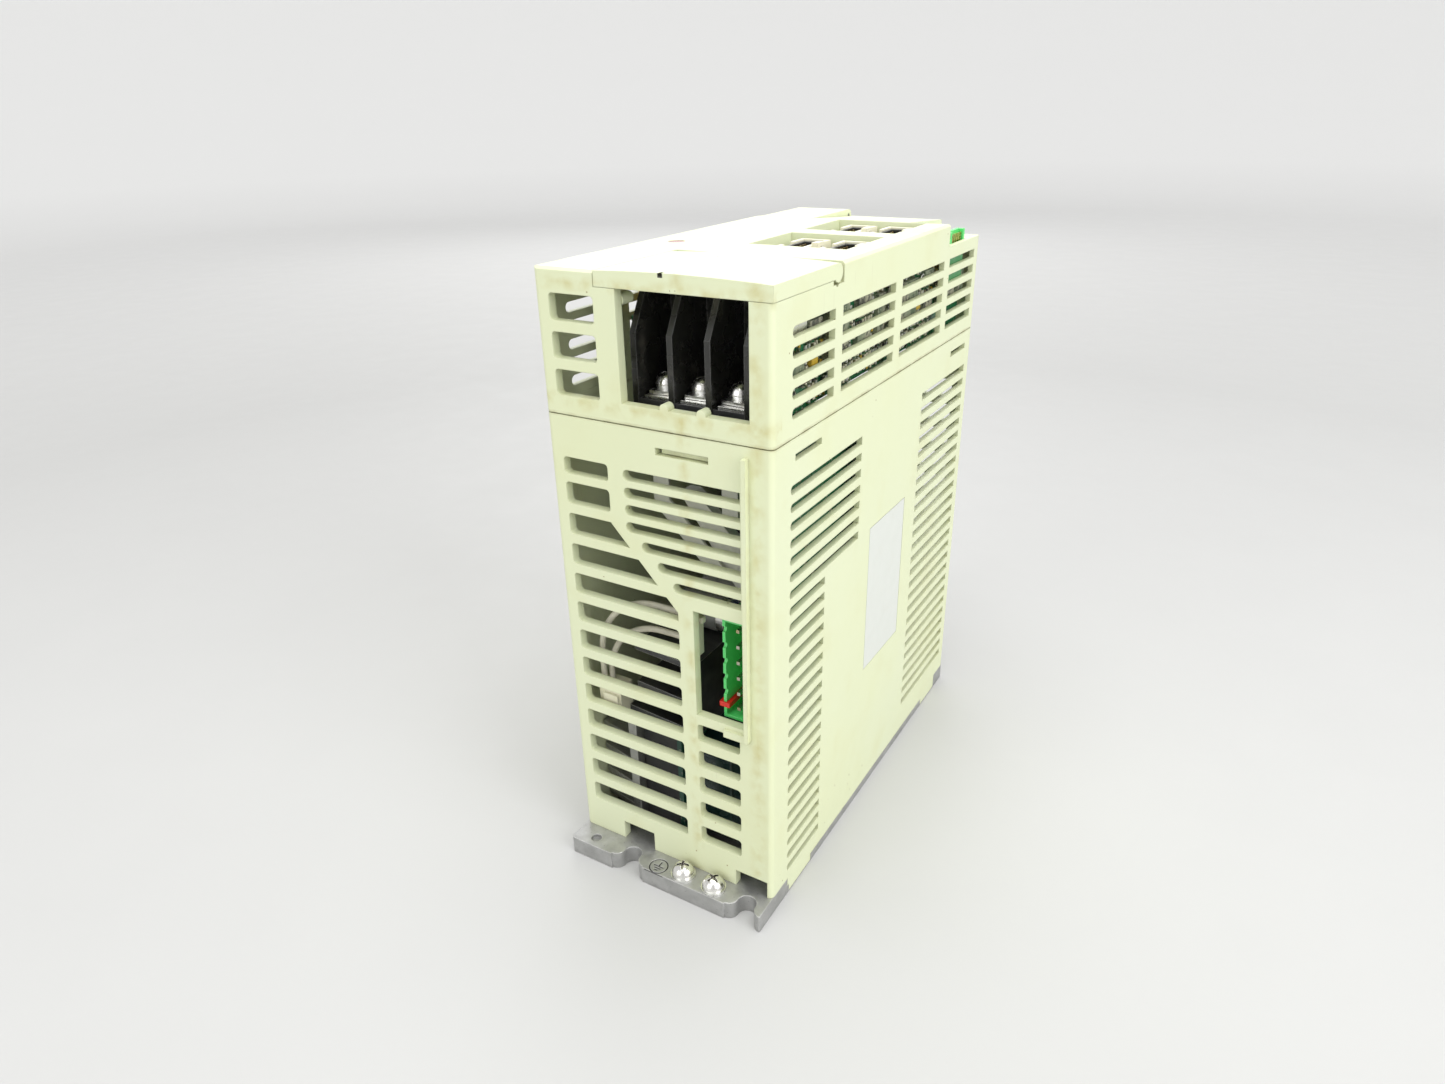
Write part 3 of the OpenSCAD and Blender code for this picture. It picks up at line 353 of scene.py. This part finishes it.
def dusty_chips():
    """Chips and printed blocks, speckled with pale dust, marks and solder spatter."""
    p = Paint("dusty_chips", (0.10, 0.10, 0.085), 0.5)
    p.tint(p.span(p.noise(420, 6), 0.44, 0.56, 0.0, 0.85), (0.44, 0.43, 0.32))
    p.tint(p.span(p.cells(620, (1, 1, 1.6)), 0.3, 0.2, 0.0, 0.85), (0.58, 0.55, 0.40))
    p.tint(p.span(p.noise(60, 3), 0.5, 0.6, 0.0, 0.5), (0.16, 0.24, 0.14))
    p.rough(p.noise(300, 3), 0.42, 0.62)
    p.raise_by(p.noise(1200, 3), 0.03)
    return p.done(soft_edge=0.2)


def capacitor_sleeve():
    """Shrunk plastic sleeve with faint ripples round the can."""
    p = Paint("capacitor_sleeve", (0.02, 0.022, 0.03), 0.28)
    p.tint(p.span(p.noise(90, 5), 0.52, 0.78, 0.0, 0.25), DUST)
    p.rough(p.noise(120, 3), 0.22, 0.4)
    p.raise_by(p.noise(120, 2, (1, 1, 0.3)), 0.08)
    return p.done(soft_edge=0.4)


def blue_case():
    """Moulded blue case of relay and capacitors."""
    p = Paint("blue_case", (0.035, 0.10, 0.30), 0.35)
    p.tint(p.span(p.noise(160, 4), 0.5, 0.8, 0.0, 0.35), (0.12, 0.17, 0.28))
    p.rough(p.noise(260, 3), 0.28, 0.5)
    p.raise_by(p.noise(900, 2), 0.012)
    return p.done(soft_edge=0.3)


def smoked_case():
    """Smoked relay case with a blue-green cast and a painted highlight along its edges."""
    p = Paint("smoked_case", (0.014, 0.034, 0.034), 0.24)
    p.tint(p.span(p.noise(120, 5), 0.45, 0.8, 0.0, 0.5), (0.035, 0.075, 0.072))
    # Painted highlight: lighter grey-teal along the outer edges
    p.tint(p.math("MULTIPLY", p.edges(0.5), 0.4), (0.12, 0.16, 0.15))
    p.rough(p.noise(180, 3), 0.16, 0.34)
    p.raise_by(p.noise(500, 2), 0.01)
    return p.done(soft_edge=0.3)


def yellow_case():
    """Yellow winding tape and moulded film capacitors."""
    p = Paint("yellow_case", (0.62, 0.42, 0.05), 0.4)
    tape = p.noise(60, 2, (1, 1, 12))
    p.tint(p.span(tape, 0.45, 0.7, 0.0, 0.4), (0.45, 0.27, 0.04))
    p.rough(p.noise(260, 3), 0.3, 0.55)
    p.raise_by(tape, 0.06)
    return p.done(soft_edge=0.3)


def green_plastic():
    """Green polyamide of the pluggable connectors, with a painted highlight on its edges, painted shade in
    its crevices and painted shade where it lies behind the far vents.
    """
    p = Paint("green_plastic", (0.09, 0.62, 0.15), 0.36)
    p.tint(p.span(p.noise(150, 4), 0.45, 0.75, 0.0, 0.4), (0.08, 0.50, 0.13))
    # Painted highlight: lighter green along the outer edges
    p.tint(p.math("MULTIPLY", p.edges(0.35), 0.5), (0.40, 0.85, 0.42))
    # Painted shade: darker green where ambient occlusion finds crevices
    p.tint(p.span(p.crevices(1.0), 0.7, 1.0, 0.0, 0.4), (0.02, 0.20, 0.06))
    # Painted shade: darker green where the connectors lie behind the far vents
    painted_vent_shade = p.math("MULTIPLY", p.inside("Z", 150.0, 179.5), p.inside("Y", 40.0, 84.0))
    p.tint(p.math("MULTIPLY", painted_vent_shade, 0.8), (0.02, 0.12, 0.05))
    p.rough(p.noise(300, 3), 0.28, 0.46)
    p.raise_by(p.noise(1200, 2), 0.01)
    return p.done(soft_edge=0.15)


def red_plastic():
    """Red coding key."""
    p = Paint("red_plastic", (0.62, 0.018, 0.012), 0.34)
    p.tint(p.span(p.noise(300, 3), 0.5, 0.8, 0.0, 0.4), (0.40, 0.03, 0.02))
    p.rough(p.noise(400, 2), 0.26, 0.44)
    p.raise_by(p.noise(1200, 2), 0.01)
    return p.done(soft_edge=0.2)


def ivory_plastic():
    """Ivory nylon of sockets, keys and lead plugs, browned a little in its corners."""
    p = Paint("ivory_plastic", (0.80, 0.77, 0.60), 0.4)
    p.tint(p.span(p.noise(110, 4), 0.45, 0.75, 0.0, 0.5), (0.70, 0.65, 0.45))
    p.tint(p.span(p.crevices(1.5), 0.6, 1.0, 0.0, 0.5), (0.30, 0.25, 0.13))
    p.rough(p.noise(260, 3), 0.32, 0.52)
    p.raise_by(p.noise(1300, 2), 0.012)
    return p.done(soft_edge=0.2)


def lead_sleeve():
    """Soft off-white insulation, greyed by handling."""
    p = Paint("lead_sleeve", (0.66, 0.63, 0.52), 0.5)
    p.tint(p.span(p.noise(190, 5), 0.5, 0.75, 0.0, 0.5), (0.38, 0.33, 0.24))
    p.rough(p.noise(260, 3), 0.4, 0.62)
    p.raise_by(p.noise(600, 3), 0.03)
    return p.done()


def jumper_film():
    """Flat jumper: pale film over conductors that show as fine ridges."""
    p = Paint("jumper_film", (0.60, 0.60, 0.55), 0.35)
    p.tint(p.span(p.noise(140, 4), 0.5, 0.75, 0.0, 0.5), (0.52, 0.51, 0.46))
    p.rough(p.noise(300, 3), 0.25, 0.5)
    p.raise_by(p.noise(420, 1, (3, 0.2, 0.4)), 0.08)
    return p.done(soft_edge=0.15)


def board_laminate():
    """Circuit board: green mask over tracks, tinned pads and flux stains; painted shade, dark blue-green, low
    down.
    """
    p = Paint("board_laminate", (0.015, 0.15, 0.06), 0.4)
    tracks = p.node("ShaderNodeTexBrick", offset=0.37, squash=0.7, squash_frequency=3)
    tracks.inputs["Scale"].default_value = 90
    tracks.inputs["Mortar Size"].default_value = 0.022
    p.join(p.stretched((1, 1.3, 1)), tracks.inputs["Vector"])
    p.tint(p.math("MULTIPLY", tracks.outputs["Fac"], 0.7), (0.03, 0.26, 0.11))
    p.tint(p.span(p.cells(420), 0.24, 0.18, 0.0, 0.9), (0.50, 0.49, 0.40))
    p.tint(p.span(p.noise(90, 5), 0.55, 0.8, 0.0, 0.35), (0.20, 0.17, 0.08))
    # Painted shade: dark blue-green, growing towards the bottom of the boards
    p.tint(p.span(p.axis("Z"), 90 * MM, 50 * MM, 0.0, 0.75), (0.01, 0.045, 0.042))
    p.rough(p.noise(200, 3), 0.25, 0.5)
    p.raise_by(tracks.outputs["Fac"], 0.05)
    p.raise_by(p.noise(900, 2), 0.01)
    return p.done()


def dark_aluminium():
    """Extruded fins: dark anodised faces and a painted highlight along the edges."""
    p = Paint("dark_aluminium", (0.085, 0.085, 0.09), 0.42, 0.8)
    p.tint(p.span(p.noise(200, 4, (0.2, 1, 1)), 0.4, 0.75, 0.0, 0.6), (0.17, 0.17, 0.17))
    # Painted highlight: light grey along the outer edges
    p.tint(p.edges(0.4), (0.55, 0.55, 0.55))
    p.rough(p.noise(260, 4), 0.3, 0.55)
    p.raise_by(p.noise(900, 3, (1, 0.1, 1)), 0.02)
    return p.done(soft_edge=0.25)


def resistor_coat():
    """Grey cement coat of the wire-wound resistors."""
    p = Paint("resistor_coat", (0.25, 0.25, 0.24), 0.55, 0.2)
    p.tint(p.span(p.noise(260, 6), 0.4, 0.75), (0.35, 0.34, 0.32))
    p.rough(p.noise(260, 4), 0.4, 0.65)
    p.raise_by(p.noise(700, 5), 0.08)
    return p.done()


def ferrite():
    """Coated ring core."""
    p = Paint("ferrite", (0.05, 0.05, 0.055), 0.45, 0.1)
    p.tint(p.span(p.noise(300, 5), 0.4, 0.75), (0.10, 0.10, 0.10))
    p.rough(p.noise(300, 3), 0.35, 0.6)
    p.raise_by(p.noise(900, 3), 0.03)
    return p.done(soft_edge=0.3)


def copper_wire():
    """Enamelled copper windings."""
    p = Paint("copper_wire", (0.50, 0.19, 0.06), 0.28, 1.0)
    wire = p.noise(700, 1, (1, 1, 0.2))
    p.tint(p.span(wire, 0.4, 0.65), (0.32, 0.11, 0.035))
    p.rough(p.noise(500, 2), 0.2, 0.42)
    p.raise_by(wire, 0.08)
    return p.done()


def display_filter():
    """Dark red tinted window, finely scratched."""
    p = Paint("display_filter", (0.10, 0.004, 0.004), 0.12)
    p.set("Transmission Weight", 0.55)
    p.tint(p.span(p.noise(320, 4, (6, 0.4, 1)), 0.62, 0.7, 0.0, 0.5), (0.20, 0.03, 0.03))
    p.rough(p.noise(200, 3), 0.06, 0.22)
    p.raise_by(p.noise(500, 2), 0.004)
    return p.done()


def lamp_lens():
    """Red lamp lens."""
    p = Paint("lamp_lens", (0.36, 0.008, 0.006), 0.15)
    p.set("Transmission Weight", 0.4)
    p.tint(p.span(p.noise(260, 3), 0.5, 0.75, 0.0, 0.4), (0.16, 0.005, 0.005))
    p.rough(p.noise(260, 2), 0.1, 0.28)
    p.raise_by(p.noise(800, 2), 0.006)
    return p.done(soft_edge=0.3)


def label_film():
    """Blank white label with a slight sheen and faint patches of dirt."""
    p = Paint("label_film", (0.63, 0.65, 0.60), 0.35)
    p.tint(p.span(p.noise(80, 5), 0.55, 0.8, 0.0, 0.35), (0.58, 0.58, 0.50))
    p.rough(p.noise(180, 3), 0.28, 0.46)
    p.raise_by(p.noise(240, 2), 0.01)
    return p.done()


MATERIALS = {
    "cast_base": cast_base(),
    "case_plastic": case_plastic(),
    "steel_pin": steel_pin(),
    "nickel_screw": bright_screw(),
    "plated_steel": plated_steel(),
    "tinned_pin": tinned_pin(),
    "gold_pin": gold_pin(),
    "black_plastic": glossy_black(),
    "chip_black": epoxy_black(),
    "capacitor_sleeve": capacitor_sleeve(),
    "blue_case": blue_case(),
    "yellow_case": yellow_case(),
    "green_plastic": green_plastic(),
    "red_plastic": red_plastic(),
    "ivory_plastic": ivory_plastic(),
    "lead_sleeve": lead_sleeve(),
    "jumper_film": jumper_film(),
    "board_laminate": board_laminate(),
    "dark_aluminium": dark_aluminium(),
    "resistor_body": resistor_coat(),
    "ferrite": ferrite(),
    "copper_wire": copper_wire(),
    "display_red": display_filter(),
    "lamp_red": lamp_lens(),
    "label_film": label_film(),
}


# CAD nodes whose finish differs from the rest of their slot
OWN_FINISH = {"inrush_relay": smoked_case(), "control_chips": dusty_chips()}

# ---------- mesh helper ----------


class Solid:
    """A piece built from boxes, rods and domes, in millimetres of the row frame."""

    def __init__(self):
        self.mesh = bmesh.new()

    def box(self, low, high):
        size = [b - a for a, b in zip(low, high)]
        middle = [(a + b) / 2 for a, b in zip(low, high)]
        place = Matrix.Translation(middle) @ Matrix.Diagonal((*size, 1))
        bmesh.ops.create_cube(self.mesh, size=1, matrix=place)

    def rod(self, start, end, radius, tip=None, sides=20):
        """A rod or cone from start to end; tip is the radius at the end."""
        start, end = Vector(start), Vector(end)
        turn = (end - start).to_track_quat("Z", "Y").to_matrix().to_4x4()
        place = Matrix.Translation((start + end) / 2) @ turn
        bmesh.ops.create_cone(
            self.mesh,
            cap_ends=True,
            segments=sides,
            radius1=radius,
            radius2=radius if tip is None else tip,
            depth=(end - start).length,
            matrix=place,
        )

    def dome(self, middle, radius, flatten):
        place = Matrix.Translation(middle) @ Matrix.Diagonal((*flatten, 1))
        bmesh.ops.create_icosphere(self.mesh, subdivisions=2, radius=radius, matrix=place)

    def finish(self, name, slot, body=BODY, bevel=0.08, smooth=False):
        bmesh.ops.scale(self.mesh, vec=(MM, MM, MM), verts=self.mesh.verts)
        bmesh.ops.recalc_face_normals(self.mesh, faces=self.mesh.faces)
        data = bpy.data.meshes.new(name)
        self.mesh.to_mesh(data)
        self.mesh.free()
        data.materials.append(MATERIALS[slot])
        if smooth:
            data.shade_smooth()
        piece = bpy.data.objects.new(name, data)
        bpy.context.scene.collection.objects.link(piece)
        if bevel:
            add_bevel(piece, bevel)
        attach(piece, body)
        return piece


def add_bevel(piece, width):
    """Rounds a piece's sharp edges by width in millimetres."""
    bevel = piece.modifiers.new("rounded", "BEVEL")
    bevel.width = width * MM
    bevel.segments = 2
    bevel.limit_method = "ANGLE"
    bevel.angle_limit = math.radians(40)
    bevel.use_clamp_overlap = True


# ---------- CAD nodes: materials and rounded edges ----------

ROUNDED = {
    "power_module": 0.5,
    "rectifier_module": 0.5,
    "inrush_relay": 0.5,
    "snubber_capacitors": 0.6,
    "current_sensors": 0.4,
    "switching_transformer": 0.5,
    "output_terminals": 0.4,
    "lead_connector": 0.3,
    "te2_coding_key": 0.25,
    "control_chips": 0.15,
    "te1_washers": 0.12,
    "te1_plates": 0.1,
    "display_module": 0.2,
    "tact_switches": 0.15,
    "main_capacitors": 0.8,
    "supply_capacitors": 0.5,
    "choke_winding": 0.3,
    "filter_choke": 0.6,
    "mode_button": 0.3,
    "up_button": 0.3,
    "down_button": 0.3,
    "set_button": 0.3,
}


def dress_nodes():
    """Gives every CAD node its material, and rounds the plain ones."""
    for name, piece in frame["nodes"].items():
        piece.data.materials.clear()
        piece.data.materials.append(OWN_FINISH.get(name) or MATERIALS[SLOT_OF[name]])
        if name in ROUNDED:
            weld = piece.modifiers.new("weld", "WELD")
            weld.merge_threshold = 1e-6
            add_bevel(piece, ROUNDED[name])


# ---------- small parts on the boards ----------


def free_places(low, high, pitch, taken, rng, share):
    """Grid points of a rectangle that miss the taken rectangles, thinned to a share of them."""
    points = []
    for column in range(int((high[0] - low[0]) / pitch[0])):
        for row in range(int((high[1] - low[1]) / pitch[1])):
            a = low[0] + (column + 0.5) * pitch[0]
            b = low[1] + (row + 0.5) * pitch[1]
            hit = any(t[0] - 1.5 < a < t[2] + 1.5 and t[1] - 1.2 < b < t[3] + 1.2 for t in taken)
            if not hit and rng.random() < share:
                points.append((a, b))
    return points


def control_board_parts():
    """Chip legs and rows of small parts on the upright board behind the side louvres."""
    rng = random.Random(5)
    face = node_box("control_pcb")[0].x + BOARD_THICK
    chips = solids("control_chips")
    legs = Solid()
    for low, high in chips:
        count = int((high.y - low.y) / CHIP_LEG_PITCH)
        for k in range(count):
            y = low.y + (k + 0.5) * (high.y - low.y) / count
            for z in (low.z - 0.9, high.z):
                legs.box((face, y - 0.2, z), (face + 0.35, y + 0.2, z + 0.9))
    legs.finish("control_chip_legs", "tinned_pin", bevel=0)
    taken = [(low.y, low.z, high.y, high.z) for low, high in chips]
    low, high = node_box("control_pcb")
    spots = free_places((low.y + 1, low.z + 1), (42, 176), (2.1, 1.75), taken, rng, 0.85)
    groups = {slot: Solid() for slot in ("jumper_film", "yellow_case", "chip_black", "ivory_plastic")}
    ends = Solid()
    for y, z in spots:
        slot = rng.choices(list(groups), (5, 0.4, 2, 6))[0]
        long_y = rng.random() < 0.5
        half = (0.75, 0.42) if long_y else (0.42, 0.75)
        top = face + rng.uniform(0.5, 1.1)
        groups[slot].box((face, y - half[0], z - half[1]), (top, y + half[0], z + half[1]))
        for side in (-1, 1):
            at = (y + side * (half[0] + 0.1), z) if long_y else (y, z + side * (half[1] + 0.1))
            wide = (0.16, 0.46) if long_y else (0.46, 0.16)
            ends.box((face, at[0] - wide[0], at[1] - wide[1]), (top + 0.03, at[0] + wide[0], at[1] + wide[1]))
    for slot, group in groups.items():
        group.finish("control_small_" + slot, slot, bevel=0.06)
    ends.finish("control_small_ends", "tinned_pin", bevel=0)


def control_board_cans():
    """Round cans, a square metal can, tantalums and small chokes on the upright board."""
    face = node_box("control_pcb")[0].x + BOARD_THICK
    cans = Solid()
    for y, z in ((-24, 166), (-9, 176.5), (1, 165), (28, 172), (44, 168.2)):
        cans.rod((face, y, z), (face + 2.3, y, z), 1.9)
    cans.box((face, -61, 169.5), (face + 2.2, -53, 178.5))
    cans.finish("control_cans", "plated_steel", bevel=0.25)
    tantalums = Solid()
    for y, z in ((-47, 163), (-30, 178), (27, 164), (40, 176)):
        tantalums.box((face, y - 1.8, z - 1.1), (face + 1.7, y + 1.8, z + 1.1))
    tantalums.finish("control_tantalums", "yellow_case", bevel=0.3)
    chokes = Solid()
    for y, z in ((-68, 166), (-66.5, 172), (-52, 160)):
        chokes.rod((face + 1.3, y - 2, z), (face + 1.3, y + 2, z), 1.2)
    chokes.finish("control_chokes", "copper_wire", bevel=0.2)


def interface_board_parts():
    """Small parts between the sockets, seen down the open strips of the recesses."""
    rng = random.Random(11)
    top = node_box("interface_pcb")[1].z
    for number, (low, high) in enumerate(recess_strips()):
        chips = Solid()
        pads = Solid()
        for y in range(int(low[1]) + 3, int(high[1]) - 2, 3):
            x = (low[0] + high[0]) / 2 + rng.uniform(-0.6, 0.6)
            tall = rng.uniform(0.6, 1.4)
            chips.box((x - 1.0, y - 0.6, top), (x + 1.0, y + 0.6, top + tall))
            for side in (-1, 1):
                pads.box((x + side * 1.1 - 0.2, y - 0.62, top), (x + side * 1.1 + 0.2, y + 0.62, top + tall))
        chips.finish("interface_chips_%d" % number, "chip_black", bevel=0.08)
        pads.finish("interface_pads_%d" % number, "tinned_pin", bevel=0)


def recess_strips():
    """Open floor beside the sockets of each recess: low and high corner in X and Y."""
    shells = solids("connector_shells")
    near = [s for s in shells if s[0].y < 0]
    far = [s for s in shells if s[0].y >= 0]
    left = min(s[0].x for s in shells)
    return [((left - 4.6, rows[0][0].y), (left - 0.4, rows[0][1].y)) for rows in (near, far)]


def board_fixings():
    """Solder joints on the outer face of the supply board."""
    rng = random.Random(3)
    low, high = node_box("supply_pcb")
    joints = Solid()
    for y, z in free_places((low.y + 4, low.z + 4), (high.y - 4, high.z - 4), (5.2, 5.4), [], rng, 0.3):
        joints.rod((high.x, y, z), (high.x + 0.8, y, z), 0.7, 0.3, 10)
    joints.finish("supply_solder", "tinned_pin", bevel=0)


# ---------- connectors, display and terminals ----------


def socket_contacts():
    """Two rows of gold contacts in each signal socket."""
    contacts = Solid()
    for low, high in solids("connector_inserts"):
        middle = (low.x + high.x) / 2
        for k in range(10):
            y = low.y + 2.4 + k * (high.y - low.y - 4.8) / 9
            for side in (-1, 1):
                x = middle + side * 1.75
                contacts.box((x - 0.2, y - 0.3, high.z - 7), (x + 0.2, y + 0.3, high.z - 0.6))
    contacts.finish("socket_contacts", "gold_pin", bevel=0)


def socket_latches():
    """Bright spring at the foot of each socket's latch post."""
    springs = Solid()
    for low, high in solids("connector_shells"):
        middle = (low.y + high.y) / 2
        springs.box((high.x, middle - 1.6, low.z + 9), (high.x + 0.25, middle + 1.6, high.z - 1.2))
        springs.box((high.x - 0.1, middle - 0.5, high.z - 1.6), (high.x + 0.3, middle + 0.5, high.z - 0.9))
    springs.finish("socket_springs", "plated_steel", bevel=0.05)


def display_digits():
    """Five unlit seven-segment digits under the red window."""
    low, high = node_box("display_module")
    segments = Solid()
    top = high.z + 0.06
    width, tall, bar = 1.7, 5.0, 0.35
    for k in range(5):
        x = low.x + 1.1 + k * 2.5
        y = (low.y + high.y) / 2
        for row in (-1, 0, 1):
            middle = y + row * tall / 2
            segments.box((x + bar, middle - bar / 2, high.z), (x + width - bar, middle + bar / 2, top))
        for side in (x, x + width - bar):
            for row in (-1, 0):
                start = y + row * tall / 2 + bar
                segments.box((side, start, high.z), (side + bar, start + tall / 2 - 2 * bar, top))
    segments.finish("display_segments", "ivory_plastic", bevel=0)


def header_details():
    """Solder tails behind the header."""
    low, high = node_box("te2_header")
    x = node_box("te2_pins")[0].x + 0.5
    tails = Solid()
    for k in range(6):
        z = low.z + 0.9 + HEADER_PITCH * (k + 0.5)
        tails.rod((x, high.y, z), (x, high.y + 2.4, z), 0.45, 0.3, 12)
    tails.finish("header_tails", "tinned_pin", bevel=0)


def window_peg():
    """Round moulded peg behind the upper left corner of the terminal window."""
    low, high = node_box("te1_block")
    x, y, z = low.x + 2.1, low.y - 2.1, high.z - 2.5
    peg = Solid()
    peg.rod((x, y - 4.6, z), (x, y, z), 1.5)
    peg.rod((x, y, z), (x, y + 0.5, z), 1.5, 1.1)
    peg.finish("window_peg", "case_plastic", bevel=0.1)


def terminal_details():
    """Ridges on the front lip of the terminal block and screws on the output terminals."""
    low, high = node_box("te1_block")
    lip = Solid()
    lip.box((low.x + 0.1, low.y + 0.35, low.z + 1), (high.x - 0.1, low.y + 0.65, low.z + 2.6))
    lip.finish("terminal_lip", "chip_black", bevel=0.1)
    low, high = node_box("output_terminals")
    screws = Solid()
    for lead_low, lead_high in solids("power_leads"):
        x = (lead_low.x + lead_high.x) / 2
        screws.rod((x + 3.4, low.y + 2.4, high.z), (x + 3.4, low.y + 2.4, high.z + 1.1), 1.7, 1.5)
        screws.rod((x, low.y + 2.4, high.z), (x, low.y + 2.4, high.z + 4), 1.85)
    screws.finish("output_ferrules", "plated_steel", bevel=0.1)


# ---------- power parts ----------


def capacitor_tops():
    """Crimped rim, pressure vent and terminal screws of each main capacitor."""
    rims = Solid()
    tops = Solid()
    screws = Solid()
    rim_r, rim_steps = 13.4, 40
    for low, high in solids("main_capacitors"):
        x, y = (low.x + high.x) / 2, (low.y + high.y) / 2
        top = high.z - 4
        for k in range(rim_steps):
            angle = math.tau * k / rim_steps
            start = (x + rim_r * math.cos(angle), y + rim_r * math.sin(angle), top + 0.2)
            angle += math.tau / rim_steps
            end = (x + rim_r * math.cos(angle), y + rim_r * math.sin(angle), top + 0.2)
            rims.rod(start, end, 0.75, sides=8)
        tops.rod((x, y, top), (x, y, top + 0.35), 12.9, sides=48)
        tops.dome((x, y + 7.5, top + 0.3), 2.2, (1, 1, 0.35))
        for side in (-5, 5):
            screws.rod((x + side, y, top + 4), (x + side, y, top + 5.2), 2.4, 2.1)
    rims.finish("capacitor_rims", "plated_steel", bevel=0, smooth=True)
    tops.finish("capacitor_tops", "chip_black", bevel=0.1)
    screws.finish("capacitor_screws", "nickel_screw", bevel=0.15)


def transformer_windings():
    """Ferrite halves round the taped winding of the switching transformer."""
    low, high = node_box("switching_transformer")
    core = Solid()
    for z in (low.z - 2.2, high.z):
        core.box((low.x + 2, low.y + 4, z), (high.x - 2, high.y - 4, z + 2.2))
    core.finish("transformer_core", "ferrite", bevel=0.4)
    wires = Solid()
    for k in range(5):
        y = low.y + 5 + k * (high.y - low.y - 10) / 4
        wires.rod((high.x - 0.2, y, low.z - 3.4), (high.x - 2.6, y, low.z + 2), 0.4, sides=10)
    wires.finish("transformer_ends", "copper_wire", bevel=0)


def resistor_caps():
    """Bright end caps and tabs of the brake resistors."""
    caps = Solid()
    for low, high in solids("brake_resistors"):
        y, z = (low.y + high.y) / 2, (low.z + high.z) / 2
        caps.rod((high.x - 2.5, y, z), (high.x + 0.3, y, z), 5.55, sides=40)
        caps.box((high.x + 0.3, y - 1.5, z - 0.4), (high.x + 1.3, y + 1.5, z + 0.4))
    caps.finish("resistor_caps", "plated_steel", bevel=0.2)


def module_pins():
    """Pins between the power module and its board."""
    low, high = node_box("power_module")
    board = node_box("power_pcb")
    pins = Solid()
    for k in range(12):
        y = low.y + 4 + k * (high.y - low.y - 8) / 11
        for z in (low.z + 3, high.z - 3):
            pins.rod((high.x - 0.2, y, z), (board[0].x + 0.1, y, z), 0.45, sides=10)
    pins.finish("module_pins", "tinned_pin", bevel=0)


def dress_parts():
    """Adds every small part that the CAD nodes don't show."""
    control_board_parts()
    control_board_cans()
    interface_board_parts()
    board_fixings()
    socket_contacts()
    socket_latches()
    display_digits()
    header_details()
    window_peg()
    terminal_details()
    capacitor_tops()
    transformer_windings()
    resistor_caps()
    module_pins()


# ---------- floor, light and camera ----------


def floor_material():
    """Pale matt floor, lighter far from the object, where less light falls."""
    p = Paint("pale_floor", (0.48, 0.48, 0.47), 0.6)
    p.tint(p.span(p.noise(3, 3), 0.4, 0.7, 0.0, 0.5), (0.47, 0.47, 0.46))
    distance = p.node("ShaderNodeVectorMath", operation="LENGTH")
    p.join(p.place, distance.inputs[0])
    p.tint(p.span(distance.outputs["Value"], 0.6, 2.4), (0.95, 0.95, 0.94))
    p.rough(p.noise(30, 3), 0.5, 0.7)
    p.raise_by(p.noise(500, 2), 0.02)
    return p.done()


def studio_floor():
    """A round pale floor whose rim curves up, so that every view has the same plain background."""
    flat_r, rim_r = 2.0, 1.2
    profile = [(0.0, 0.0), (flat_r, 0.0)]
    for k in range(1, 9):
        angle = math.radians(k * 10)
        profile.append((flat_r + rim_r * math.sin(angle), rim_r - rim_r * math.cos(angle)))
    steps = 96
    vertices = []
    faces = []
    for radius, height in profile[1:]:
        for k in range(steps):
            angle = math.tau * k / steps
            vertices.append((radius * math.cos(angle), radius * math.sin(angle), height))
    faces.append(list(range(steps)))
    for ring in range(len(profile) - 2):
        for k in range(steps):
            a = ring * steps + k
            b = ring * steps + (k + 1) % steps
            faces.append((a, a + steps, b + steps, b))
    data = bpy.data.meshes.new("studio_floor")
    data.from_pydata(vertices, [], faces)
    data.materials.append(floor_material())
    data.shade_smooth()
    data.polygons[0].use_smooth = False
    floor = bpy.data.objects.new("studio_floor", data)
    bpy.context.scene.collection.objects.link(floor)


def soft_light(name, place, size, power, color=(1.0, 1.0, 1.0)):
    """A square area light that faces the middle of the object."""
    data = bpy.data.lights.new(name, "AREA")
    data.size = size
    data.energy = power
    data.color = color
    light = bpy.data.objects.new(name, data)
    light.location = place
    target = Vector((0, 0, 0.1))
    light.rotation_euler = (target - Vector(place)).to_track_quat("-Z", "Y").to_euler()
    bpy.context.scene.collection.objects.link(light)


def studio_light():
    """Four soft lights, the brightest above, and an even white surround."""
    soft_light("top_light", (0.1, -0.1, 1.3), 1.0, 13)
    soft_light("right_light", (1.2, -0.3, 0.7), 0.9, 11, (0.96, 0.97, 1.0))
    soft_light("front_light", (-0.3, -1.3, 0.7), 0.9, 5)
    soft_light("back_light", (-0.7, 1.1, 0.8), 0.9, 4)
    world = bpy.data.worlds.new("studio")
    world.use_nodes = True
    background = world.node_tree.nodes["Background"]
    background.inputs["Color"].default_value = (1.0, 1.0, 1.0, 1.0)
    background.inputs["Strength"].default_value = 0.72
    bpy.context.scene.world = world


def camera():
    """The photograph's viewpoint: position in metres, rotation in degrees, lens on a 36 mm wide sensor."""
    data = bpy.data.cameras.new("camera")
    data.sensor_width = 36
    data.lens = 23.79
    data.clip_start = 0.01
    made = bpy.data.objects.new("camera", data)
    made.location = (0.1364, -0.2650, 0.2249)
    made.rotation_euler = [math.radians(angle) for angle in (65.02, 1.16, 30.95)]
    bpy.context.scene.collection.objects.link(made)
    bpy.context.scene.camera = made


dress_nodes()
dress_parts()
studio_floor()
studio_light()
camera()
bpy.context.scene.view_settings.view_transform = "Standard"
